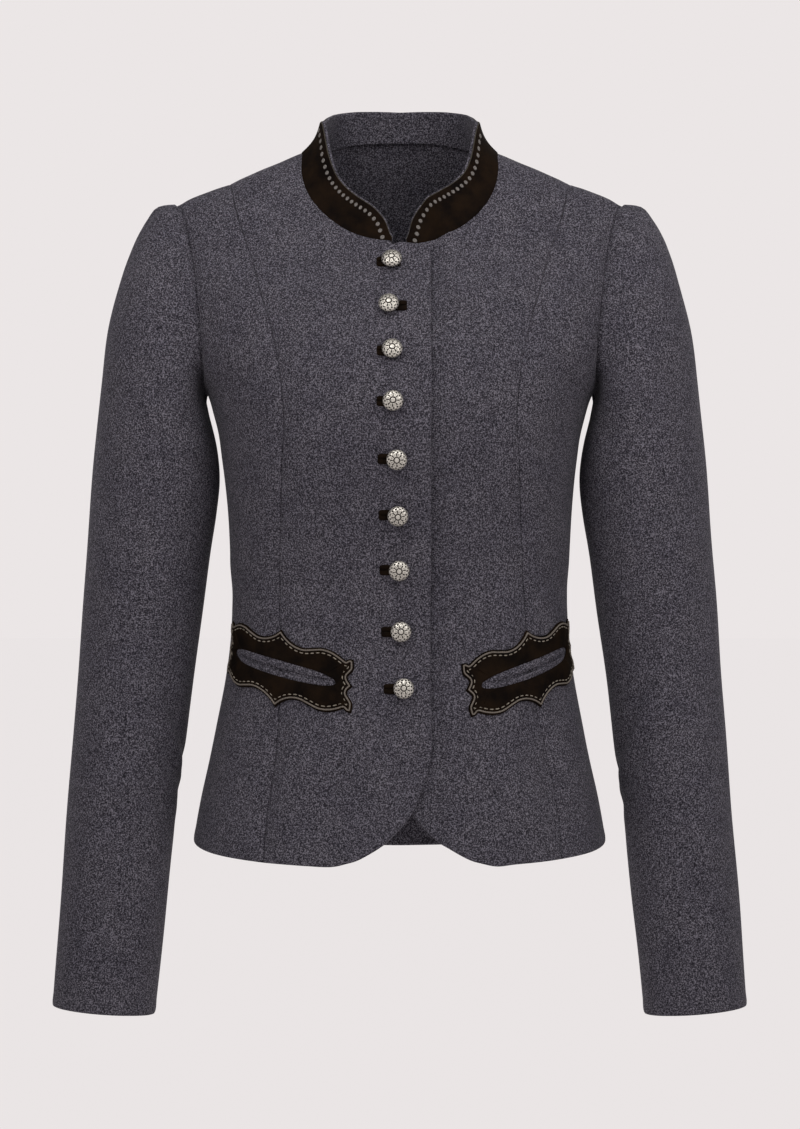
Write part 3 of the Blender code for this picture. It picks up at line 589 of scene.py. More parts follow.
@dataclass(frozen=True)
class BodyForm:
    """Outer form of the jacket's body, as oval sections that close over at the shoulders.

    A point is named by an angle, 0 at the front, 90 at the side and 180 at the back, and a level,
    which is its height up to roof_start and runs on over the shoulder above it.
    """

    sections: tuple[Section, ...] = rows(Section, (
        (-580, 168.0, 124.0, 121.0), (-549, 164.4, 119.0, 117.0),
        (-518, 158.8, 113.0, 110.0), (-486, 151.6, 108.5, 101.0),
        (-454, 145.2, 104.0, 93.0), (-422, 139.2, 100.5, 86.0),
        (-390, 135.2, 98.0, 81.0), (-366, 134.0, 98.0, 80.0),
        (-326, 135.6, 102.5, 86.0), (-278, 138.4, 112.5, 96.0),
        (-249, 141.4, 119.0, 101.0), (-214, 147.0, 122.0, 104.5),
        (-197, 153.0, 121.0, 105.5), (-186, 158.0, 119.0, 106.0),
        (-175, 163.5, 116.0, 106.5), (-160, 170.0, 110.5, 107.0),
        (-145, 175.0, 104.0, 107.0), (-120, 182.0, 92.0, 106.0),
        (-88, 186.0, 75.5, 104.0), (-60, 188.0, 69.0, 101.0),
        (-20, 188.0, 69.0, 97.0), (15, 188.0, 69.0, 93.6),
        (80, 188.0, 69.0, 93.6),
    ))
    fullness: float = 2.2
    roof_start: float = -130.0
    roof_span: float = 160.0
    neck_point_x: float = 78.0
    shoulder_fall: float = 0.412
    chest_limit: float = 188.0
    hem_side_z: float = -549.0
    hem_front_drop: float = 15.0
    hem_back_drop: float = 13.5
    hem_front_bend: float = 0.9
    hem_back_bend: float = 1.3

    @property
    def ridge_level(self) -> float:
        """Level of the shoulder seams."""
        return self.roof_start + self.roof_span

    def size(self, name: str, z: Array) -> Array:
        """One of the sections' sizes at heights z."""
        heights = [section.z for section in self.sections]
        return smooth_value(heights, [getattr(section, name) for section in self.sections], z)

    def ridge_height(self, share: Array, behind: Array) -> Array:
        """Height of the shoulder ridge at a share of the half width."""
        x = self.chest_limit * share
        inside = np.maximum(self.neck_point_x - x, 0.0)
        rise = np.where(behind, 60.0 * ease(inside / 40.0), 0.0045 * inside**2)
        return rise - self.shoulder_fall * (x - self.neck_point_x)

    def roof_power(self, share: Array) -> Array:
        """Roundness of the roof's curve at a share of the half width."""
        return 1.5 + 0.5 * ease((self.chest_limit * share - 60.0) / 120.0)

    def point(self, angle: Array, level: Array) -> Array:
        """Outer points at angles and levels."""
        angle, level = np.asarray(angle, float), np.asarray(level, float)
        turn = np.radians(angle)
        share = np.abs(np.sin(turn)) ** (2 / self.fullness)
        depth_share = np.abs(np.cos(turn)) ** (2 / self.fullness)
        behind = np.abs(angle) > 90.0
        arch = np.clip((level - self.roof_start) / self.roof_span, 0.0, 1.0) * math.pi / 2
        power = self.roof_power(share)
        climb = np.sin(arch) ** (2 / power)
        closing = np.cos(arch) ** (2 / power)
        top = self.ridge_height(share, behind)
        roof = self.roof_start + (top - self.roof_start) * climb
        z = np.where(level < self.roof_start, level, roof)
        depth = np.where(behind, self.size("back", z), -self.size("front", z))
        x = np.sign(np.sin(turn)) * self.size("half_width", z) * share
        return np.stack([x, depth * depth_share * closing, z], axis=-1)

    def normal(self, angle: Array, level: Array) -> Array:
        """Outward unit normals at angles and levels."""
        reach = 0.05
        angle = np.asarray(angle, float)
        high = np.minimum(np.asarray(level, float) + reach, self.ridge_level - 0.5)
        low = high - 2 * reach
        across = self.point(angle + reach, low) - self.point(angle - reach, low)
        return unit(np.cross(across, self.point(angle, high) - self.point(angle, low)))

    def locate(self, x: Array, z: Array, behind: bool = False) -> Array:
        """Angles and levels of the places seen straight on at x and z."""
        x, z = np.asarray(x, float), np.asarray(z, float)
        share = np.minimum(np.abs(x) / self.size("half_width", z), 1.0)
        angle = np.degrees(np.arcsin(share ** (self.fullness / 2)))
        angle = 180.0 - angle if behind else angle
        rise = (z - self.roof_start) / (self.ridge_height(share, behind) - self.roof_start)
        arch = np.arcsin(np.clip(rise, 0.0, 1.0) ** (self.roof_power(share) / 2))
        roof = self.roof_start + self.roof_span * arch / (math.pi / 2)
        level = np.where(z <= self.roof_start, z, roof)
        return np.stack([np.copysign(angle, x), level], axis=-1)

    def shoulder_angle(self, x: float) -> float:
        """Angle at which the shoulder ridge reaches x."""
        return math.degrees(math.asin((x / self.chest_limit) ** (self.fullness / 2)))

    def hem_level(self, angle: Array) -> Array:
        """Height of the hem at angles."""
        turn = np.cos(np.radians(angle))
        front = self.hem_front_drop * np.abs(turn) ** self.hem_front_bend
        back = self.hem_back_drop * np.abs(turn) ** self.hem_back_bend
        return self.hem_side_z - np.where(turn > 0, front, back)

    def along(self, points: Array, count: int) -> Array:
        """A smooth line through angles and levels, with points spread evenly by distance."""
        points = np.asarray(points, float)
        places = np.arange(len(points), dtype=float)
        wanted = np.linspace(0.0, places[-1], 40 * (len(points) - 1) + 1)
        fine = smooth_between(places, points, wanted)
        run = run_length(self.point(fine[:, 0], fine[:, 1]))
        return straight_between(run, fine, np.linspace(0.0, run[-1], count))


@dataclass(frozen=True)
class Drape:
    """Soft folds of the body's cloth, front and back, on top of a slight unevenness."""

    front: tuple[SoftFold, ...]
    back: tuple[SoftFold, ...]
    unevenness: float = 0.55
    turn_over: float = 30.0

    def offset(self, points: Array) -> Array:
        """How far the cloth stands out at points of the body."""
        x, y, z = points[..., 0], points[..., 1], points[..., 2]
        front_share = ease(0.5 - y / self.turn_over)
        value = self.unevenness * ripple(points)
        for fold in self.front:
            value = value + fold.offset(x, z) * front_share
        for fold in self.back:
            value = value + fold.offset(x, z) * (1 - front_share)
        return value


DRAPE = Drape(
    front=rows(SoftFold, (
        # Below the pockets the flare falls in soft flutes.
        ((-100, -455), (-109, -570), 11, -2.6), ((-78, -470), (-84, -572), 17, 1.5),
        ((-128, -465), (-141, -565), 14, 1.4), ((-46, -500), (-50, -575), 20, -0.9),
        ((109, -450), (127, -568), 11, -2.5), ((84, -468), (98, -570), 18, 1.6),
        ((138, -470), (148, -560), 10, 1.3), ((55, -505), (62, -572), 21, -0.8),
        # The waist is drawn in a little towards the sides.
        ((-134, -352), (-70, -339), 9, -0.9), ((-134, -330), (-84, -322), 8, 0.7),
        ((134, -345), (76, -334), 9, -0.8), ((134, -372), (88, -360), 9, 0.6),
        # Towards the armholes.
        ((-150, -196), (-112, -176), 8, -1.1), ((-148, -214), (-104, -200), 10, 0.8),
        ((150, -198), (110, -180), 8, -1.0), ((148, -218), (106, -206), 10, 0.8),
        ((-132, -60), (-118, -110), 14, -0.8), ((131, -60), (119, -108), 15, -0.7),
    )),
    back=rows(SoftFold, (
        ((-83, -480), (-95, -570), 12, -2.6), ((86, -470), (96, -570), 12, -2.4),
        ((-44, -480), (-52, -570), 17, 1.8), ((38, -490), (46, -570), 18, 1.7),
        ((-2, -470), (0, -570), 15, -1.6), ((-124, -480), (-140, -560), 14, 1.5),
        ((122, -478), (138, -560), 13, 1.4), ((-60, -372), (60, -366), 10, -1.2),
        ((-52, -346), (66, -350), 9, 1.0), ((-150, -190), (-108, -160), 10, -1.3),
        ((150, -186), (110, -160), 10, -1.2), ((-70, -22), (-30, -14), 9, -0.8),
        ((70, -22), (28, -13), 9, -0.8),
    )),
)


# ---- The pattern ---------------------------------------------------------------------------------


@dataclass(frozen=True)
class CutPiece:
    """A cut piece of the body, as four edges of angles and levels.

    bottom and top run from start to end; start and end run from bottom to top.
    """

    bottom: Array
    top: Array
    start: Array
    end: Array

    def grid(self, across: Array, up: Array) -> Array:
        """Angles and levels inside the edges, at shares of its width and height."""
        s, t = across[:, None, None], up[None, :, None]
        bottom, top = read_line(self.bottom, across), read_line(self.top, across)
        start, end = read_line(self.start, up), read_line(self.end, up)
        ruled = (1 - t) * bottom[:, None] + t * top[:, None] + (1 - s) * start + s * end
        corners = (
            (1 - s) * (1 - t) * bottom[0] + s * (1 - t) * bottom[-1]
            + (1 - s) * t * top[0] + s * t * top[-1]
        )
        return ruled - corners


@dataclass(frozen=True)
class Pattern:
    """The jacket's seams and the pieces between them, on the body form."""

    form: BodyForm = BodyForm()
    tip_x: float = 178.3
    underarm_z: float = -197.0
    side_seam_angle: float = 94.0
    princess_shoulder_x: float = 137.5
    collar_end_x: float = 6.5
    ledge_z: float = -78.6
    ledge_end: float = 2.0
    rows_below: int = 12
    rows_above: int = 9
    neck_rows: int = 7
    fineness: int = 24
    princess_right: tuple[Spot, ...] = rows(Spot, (
        (107.5, -563), (104.0, -517), (98.5, -482), (95.5, -446),
        (94.5, -357), (93.5, -295), (92.0, -250), (91.5, -203),
        (95.0, -172), (112.0, -107), (130.0, -50),
    ))
    princess_left: tuple[Spot, ...] = rows(Spot, (
        (128.5, -560), (124.0, -514), (114.0, -464), (106.5, -436),
        (100.0, -380), (96.5, -320), (93.5, -250), (92.0, -203),
        (96.0, -172), (112.0, -107), (130.0, -50),
    ))
    princess_back: tuple[Spot, ...] = rows(Spot, (
        (94.0, -562), (83.0, -500), (71.0, -440), (63.5, -375), (65.0, -320),
        (74.0, -250), (83.0, -200), (97.0, -140), (115.0, -80),
    ))
    armhole_front: tuple[Spot, ...] = rows(Spot, (
        (170.0, -62), (164.5, -88), (160.5, -120), (158.0, -145),
        (157.0, -163), (156.0, -180),
    ))
    armhole_back: tuple[Spot, ...] = rows(Spot, (
        (172.0, -62), (167.0, -88), (163.0, -120), (160.0, -145),
        (158.0, -165), (155.5, -182),
    ))
    neck_front: tuple[Spot, ...] = rows(Spot, (
        (0.0, -76.0), (15.5, -75.4), (28.0, -72.7), (42.2, -66.8),
        (53.4, -59.0), (64.6, -48.2), (72.6, -36.6), (77.3, -22.8),
    ))
    neck_back: tuple[Spot, ...] = rows(Spot, (
        (76.0, 0.0), (70.0, 2.4), (60.0, 6.2), (40.0, 12.0), (20.0, 13.9),
        (0.0, 14.2),
    ))
    corner: tuple[Spot, ...] = rows(Spot, (
        (-54.0, -563.2), (-42.0, -560.8), (-30.0, -556.8), (-11.5, -545.5),
        (2.5, -531.5), (12.5, -515.5), (18.5, -497.0), (22.5, -478.0),
    ))
    straight_hem: float = 0.62
    corner_bent: int = 2
    corner_middle: int = 4
    edge_heights: tuple[float, ...] = (-440.0, -330.0, -215.0, -150.0, -110.0)

    def spots(self, table: Sequence[Spot], behind: bool = False) -> list[Array]:
        """Angles and levels of a table's places."""
        return [self.form.locate(spot.x, spot.z, behind) for spot in table]

    def armhole(self, behind: bool) -> Array:
        """One half of an armhole, from the underarm up to the shoulder seam's end."""
        tip = self.form.shoulder_angle(self.tip_x)
        table = self.armhole_back if behind else self.armhole_front
        points = [np.array([self.side_seam_angle, self.underarm_z])]
        points += self.spots(table, behind)[::-1]
        points.append(np.array([180.0 - tip if behind else tip, self.form.ridge_level]))
        return self.form.along(np.array(points), self.rows_above * self.fineness + 1)

    def side_seam(self) -> Array:
        """The side seam, from the hem to the underarm."""
        low = self.form.hem_level(self.side_seam_angle)
        levels = np.linspace(low, self.underarm_z, self.rows_below * self.fineness + 1)
        return np.stack([np.full_like(levels, self.side_seam_angle), levels], axis=1)

    def princess(self, table: Sequence[Spot], behind: bool = False) -> Array:
        """A princess seam from the hem to the shoulder seam."""
        points = np.array(self.spots(table, behind))
        points[0, 1] = self.form.hem_level(points[0, 0])
        top = self.form.shoulder_angle(self.princess_shoulder_x)
        last = [180.0 - top if behind else top, self.form.ridge_level]
        points = np.concatenate([points, [last]])
        below = np.linspace(points[0, 1], self.underarm_z, self.rows_below * self.fineness + 1)
        above = np.linspace(self.underarm_z, last[1], self.rows_above * self.fineness + 1)[1:]
        levels = np.concatenate([below, above])
        return np.stack([smooth_value(points[:, 1], points[:, 0], levels), levels], axis=1)

    def shoulder(self, start_x: float, end_x: float, behind: bool = False) -> Array:
        """The shoulder seam between two distances from the middle."""
        xs = np.linspace(start_x, end_x, 4 * self.fineness + 1)
        angles = np.array([self.form.shoulder_angle(x) for x in xs])
        angles = 180.0 - angles if behind else angles
        return np.stack([angles, np.full_like(angles, self.form.ridge_level)], axis=1)

    def flowing(self, table: Sequence[Spot], behind: bool) -> list[Array]:
        """Angles and levels along a line that runs smoothly through a table's places."""
        spots = np.array(table)
        places = run_length(spots)
        line = smooth_between(places, spots, np.linspace(0.0, places[-1], 8 * len(table)))
        return list(self.form.locate(line[:, 0], line[:, 1], behind))

    def neckline_front(self, count: int) -> Array:
        """Front neckline from the collar's front end up to the shoulder."""
        start = Spot(self.collar_end_x, self.neck_front[0].z)
        points = self.flowing((start, *self.neck_front[1:], Spot(self.form.neck_point_x, 0.0)), False)
        neck = self.form.shoulder_angle(self.form.neck_point_x)
        points[-1] = np.array([neck, self.form.ridge_level])
        return self.form.along(np.array(points), count)

    def neckline_back(self, count: int) -> Array:
        """Back neckline from the shoulder to the centre back."""
        neck = self.form.shoulder_angle(self.form.neck_point_x)
        points = self.flowing((Spot(self.form.neck_point_x, 0.0), *self.neck_back), True)
        points[0] = np.array([180.0 - neck, self.form.ridge_level])
        return self.form.along(np.array(points), count)

    def front(self, table: Sequence[Spot], edge_x: float, shift: float) -> CutPiece:
        """A centre front, from its princess seam to its front edge.

        Args:
            table: The princess seam.
            edge_x: How far past the middle the front edge lies.
            shift: How much nearer its own side the lower corner lies.

        Returns:
            The cut piece; its angles are negative past the middle.
        """
        seam = self.princess(table)
        last = len(self.corner) - 1 - self.corner_bent
        corner = []
        for number, spot in enumerate(self.corner):
            share = (max(number - self.corner_bent, 0) / last) ** 2
            x = spot.x - shift * (1 - share) + (edge_x - self.corner[-1].x) * share
            corner.append(self.form.locate(-x, spot.z))
        upper = corner[self.corner_middle :]
        upper += [self.form.locate(-edge_x, z) for z in self.edge_heights]
        upper.append(self.form.locate(-edge_x, self.ledge_z))
        angles = np.linspace(seam[0, 0], seam[0, 0] * self.straight_hem, 4)
        hem = [np.array([angle, self.form.hem_level(angle)]) for angle in angles]
        bottom = self.form.along(np.array(hem + corner[: self.corner_middle + 1]), 241)
        edge_rows = self.rows_below + self.rows_above - self.neck_rows - 1
        edge = self.form.along(np.array(upper), edge_rows * self.fineness + 1)
        neck = self.neckline_front(self.neck_rows * self.fineness + 1)
        bend = self.form.locate(self.collar_end_x - self.ledge_end, self.ledge_z)
        ledge = self.form.along(np.array([edge[-1], bend, neck[0]]), self.fineness + 1)
        end = np.concatenate([edge, ledge[1:-1], neck])
        top = self.shoulder(self.princess_shoulder_x, self.form.neck_point_x)
        return CutPiece(bottom, top, seam, end)

    def side_front(self, table: Sequence[Spot]) -> CutPiece:
        """A side front, from its princess seam to its side seam."""
        seam = self.princess(table)
        angles = np.linspace(seam[0, 0], self.side_seam_angle, 121)
        bottom = np.stack([angles, self.form.hem_level(angles)], axis=1)
        end = np.concatenate([self.side_seam(), self.armhole(False)[1:]])
        return CutPiece(bottom, self.shoulder(self.princess_shoulder_x, self.tip_x), seam, end)

    def side_back(self) -> CutPiece:
        """A side back, from its side seam to its princess seam."""
        start = np.concatenate([self.side_seam(), self.armhole(True)[1:]])
        seam = self.princess(self.princess_back, True)
        angles = np.linspace(self.side_seam_angle, seam[0, 0], 121)
        bottom = np.stack([angles, self.form.hem_level(angles)], axis=1)
        return CutPiece(bottom, self.shoulder(self.tip_x, self.princess_shoulder_x, True), start, seam)

    def back(self) -> CutPiece:
        """The back, from the left princess seam to the right one."""
        seam = self.princess(self.princess_back, True)
        neck = self.neckline_back(5 * self.fineness + 1)
        line = self.shoulder(self.princess_shoulder_x, self.form.neck_point_x, True)
        shoulder = read_line(line, np.linspace(0.0, 1.0, 2 * self.fineness + 1))
        half = np.concatenate([shoulder, neck[1:]])
        other = np.stack([360.0 - half[::-1, 0], half[::-1, 1]], axis=1)
        top = np.concatenate([half, other[1:]])
        angles = np.linspace(seam[0, 0], 360.0 - seam[0, 0], 241)
        bottom = np.stack([angles, self.form.hem_level(angles)], axis=1)
        end = np.stack([360.0 - seam[:, 0], seam[:, 1]], axis=1)
        return CutPiece(bottom, top, seam, end)


PATTERN = Pattern()
FORM = PATTERN.form


@dataclass(frozen=True)
class Lap:
    """How the left front passes under the right one."""

    edge_x: float = 24.5
    under_edge_x: float = -14.0
    drop: float = 5.4
    margin: float = 2.5
    run: float = 13.0

    def push(self, points: Array) -> Array:
        """How far the left front is pushed in at points."""
        limit = self.edge_x + self.margin + self.run
        return np.where(points[..., 1] < 0, self.drop * ease((limit - points[..., 0]) / self.run), 0.0)


LAP = Lap()


# ---- Cloth pieces --------------------------------------------------------------------------------


@dataclass(frozen=True)
class ClothEdges:
    """How loden is finished along its edges.

    Attributes:
        cloth: Thickness of the cloth.
        seam_radius: Roundness of the cloth where it turns into a seam.
        seam_depth: Depth of a seam's groove.
        hollow: Depth of the shallow hollow beside a seam.
        hollow_width: Width of that hollow.
        fold_radius: Roundness of a turned edge.
        turned_thickness: Thickness added inside by the turned-in cloth.
        turned_width: How far the turned-in cloth reaches.
    """

    cloth: float = 2.2
    seam_radius: float = 1.5
    seam_depth: float = 2.4
    hollow: float = 1.0
    hollow_width: float = 7.0
    fold_radius: float = 1.7
    turned_thickness: float = 1.1
    turned_width: float = 30.0

    def outer_drop(self, kind: Edge, distance: Array, along: Array) -> Array:
        """How far the outer face falls near an edge; along is the distance run beside it."""
        if kind is Edge.COVERED:
            return np.zeros_like(distance)
        if kind is Edge.TURNED:
            ridge = 0.35 * bell(distance - 5.0, 3.5)
            return 0.55 * self.cloth * rolled(distance, self.fold_radius) - ridge
        pucker = 1 + 0.35 * np.sin(along / 7.3) * np.sin(along / 17.0 + 0.8)
        hollow = self.hollow * pucker * bell(distance, self.hollow_width)
        return self.seam_depth * rolled(distance, self.seam_radius) + hollow

    def inner_depth(self, kind: Edge, distance: Array) -> tuple[Array, Array]:
        """Thickness added inside near an edge, and how far its inner face curls out."""
        if kind is not Edge.TURNED:
            return np.zeros_like(distance), np.zeros_like(distance)
        extra = self.turned_thickness * (1 - ease((distance - self.turned_width) / 3.0))
        curl = (0.40 * self.cloth + extra) * rolled(distance, self.fold_radius)
        return extra, curl


EDGES = ClothEdges()
NARROWEST_CUT = 0.0105  # metres: a narrow strip's cut with its turned edge


def flat_cut(outer: Array) -> tuple[tuple[float, float], float]:
    """Width, length and area, in metres, that a piece was cut to, from its grid of points."""
    across = float(run_length(outer, 0)[-1].max()) * MM
    along = float(run_length(outer, 1)[:, -1].max()) * MM
    first = np.cross(outer[1:, :-1] - outer[:-1, :-1], outer[:-1, 1:] - outer[:-1, :-1])
    second = np.cross(outer[1:, 1:] - outer[1:, :-1], outer[1:, 1:] - outer[:-1, 1:])
    area = (np.linalg.norm(first, axis=-1) + np.linalg.norm(second, axis=-1)).sum() / 2
    return (across, along), float(area) * MM * MM


def declare_sheet(
    outer: Array
) -> None:
    """Works out the width and length of a piece's flat cut from its grid of points; nothing is done with
    them.
    """
    (width, length), area = flat_cut(outer)
    width, length = max(width, NARROWEST_CUT), max(length, NARROWEST_CUT)


def made_of(
    name: str, finish: "Loden | Suede | AntiqueSilver | Thread", wardrobe: Wardrobe,
    *meshes: tuple[Array, Faces],
) -> bpy.types.Object:
    """Builds one piece from its meshes' points and faces, and dresses it."""
    parts = MeshParts()
    for points, faces in meshes:
        parts.add(points, faces)
    piece = parts.build(name)
    wardrobe.dress(piece, finish)
    return piece


def cut_from(
    name: str, node: str, finish: "Loden | Suede", faces_of: tuple[Array, Array], wardrobe: Wardrobe,
    wrapped: bool = False,
) -> bpy.types.Object:
    """Builds and dresses one piece of cloth or suede.

    Args:
        name: The piece's name.
        node: The CAD solid it stands for.
        finish: What it is cut from.
        faces_of: Its outer and inner points.
        wardrobe: Where the materials are kept.
        wrapped: Whether it is sewn to a tube.

    Returns:
        The new piece.
    """
    outer, inner = faces_of
    piece = made_of(name, finish, wardrobe, wall(outer, inner, wrapped))
    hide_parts(node)
    cut = np.concatenate([outer, outer[:1]]) if wrapped else outer
    declare_sheet(cut)
    return piece


@dataclass
class Panel:
    """One cut piece of the jacket's body in loden.

    Attributes:
        node: The CAD solid it stands for.
        piece: Its cut.
        kinds: Finish of its start, end, bottom and top edges.
        mirrored: Whether it is the right side's copy of a left cut.
        under: Whether it passes under the other front.
        pitch: Distance between grid lines.
        covered_from: Share of its height from which the collar covers its end edge.
        covered_fade: Share of its height over which that edge's finish dies away.
    """

    node: str
    piece: CutPiece
    kinds: tuple[Edge, Edge, Edge, Edge]
    mirrored: bool = False
    under: bool = False
    pitch: float = 2.9
    covered_from: float = 2.0
    covered_fade: float = 0.02

    def surface(self) -> tuple[Array, Array]:
        """Outer and inner points."""
        rough = self.piece.grid(np.linspace(0, 1, 30), np.linspace(0, 1, 60))
        (width, length), _ = flat_cut(FORM.point(rough[..., 0], rough[..., 1]))
        across = cut_lines(width / MM, self.pitch)
        up = cut_lines(length / MM, self.pitch)
        grid = self.piece.grid(across, up)
        base = FORM.point(grid[..., 0], grid[..., 1])
        normal = FORM.normal(grid[..., 0], grid[..., 1])
        if self.mirrored:
            base, normal = base * (-1, 1, 1), normal * (-1, 1, 1)
        run_across, run_up = run_length(base, 0), run_length(base, 1)
        distances = (
            run_across, run_across[-1:] - run_across, run_up, run_up[:, -1:] - run_up,
        )
        besides = (run_up, run_up, run_across, run_across)
        drop = np.zeros(base.shape[:2])
        extra, curl = np.zeros_like(drop), np.zeros_like(drop)
        for number, (kind, distance, beside) in enumerate(zip(self.kinds, distances, besides)):
            keep = self.covered(up) if number == 1 else 1.0
            drop += keep * EDGES.outer_drop(kind, distance, beside)
            more, bend = EDGES.inner_depth(kind, distance)
            extra, curl = np.maximum(extra, more), np.maximum(curl, bend)
        offset = DRAPE.offset(base)
        if self.under:
            offset = offset - LAP.push(base)
        outer = base + normal * (offset - drop)[..., None]
        inner = base + normal * (offset - EDGES.cloth - extra + curl)[..., None]
        return outer, inner

    def covered(self, up: Array) -> Array:
        """Share of the end edge's finish that shows at each row: none of it where the neck is."""
        return 1.0 - ease((up - self.covered_from) / self.covered_fade)

    def make(self, wardrobe: Wardrobe) -> bpy.types.Object:
        """Builds the panel and dresses it."""
        return cut_from(f"cloth_{self.node}", self.node, LODEN, self.surface(), wardrobe)


@dataclass
class Body:
    """The seven cut pieces of the jacket's body."""

    front_kinds: tuple[Edge, Edge, Edge, Edge] = (Edge.SEAM, Edge.TURNED, Edge.TURNED, Edge.SEAM)
    side_kinds: tuple[Edge, Edge, Edge, Edge] = (Edge.SEAM, Edge.SEAM, Edge.TURNED, Edge.SEAM)
    neck_share: float = 0.655
    left_corner_shift: float = 22.0

    def make(self, wardrobe: Wardrobe) -> list[bpy.types.Object]:
        """Builds all of the body's panels."""
        right = PATTERN.front(PATTERN.princess_right, LAP.edge_x, 0.0)
        left = PATTERN.front(PATTERN.princess_left, -LAP.under_edge_x, self.left_corner_shift)
        side_right = PATTERN.side_front(PATTERN.princess_right)
        side_left = PATTERN.side_front(PATTERN.princess_left)
        side_back = PATTERN.side_back()
        panels = (
            Panel("front_right", right, self.front_kinds, True, covered_from=self.neck_share),
            Panel("front_left", left, self.front_kinds, under=True, covered_from=self.neck_share),
            Panel("side_front_right", side_right, self.side_kinds, True),
            Panel("side_front_left", side_left, self.side_kinds),
            Panel("side_back_right", side_back, self.side_kinds, True),
            Panel("side_back_left", side_back, self.side_kinds),
            Panel("back", PATTERN.back(), self.side_kinds, pitch=3.1),
        )
        return [panel.make(wardrobe) for panel in panels]


class Ring(NamedTuple):
    """One ring of the sleeve: its outer and inner ends seen from the front, depth and shape."""

    outer_x: float
    outer_z: float
    inner_x: float
    inner_z: float
    depth: float
    middle: float
    oval: float


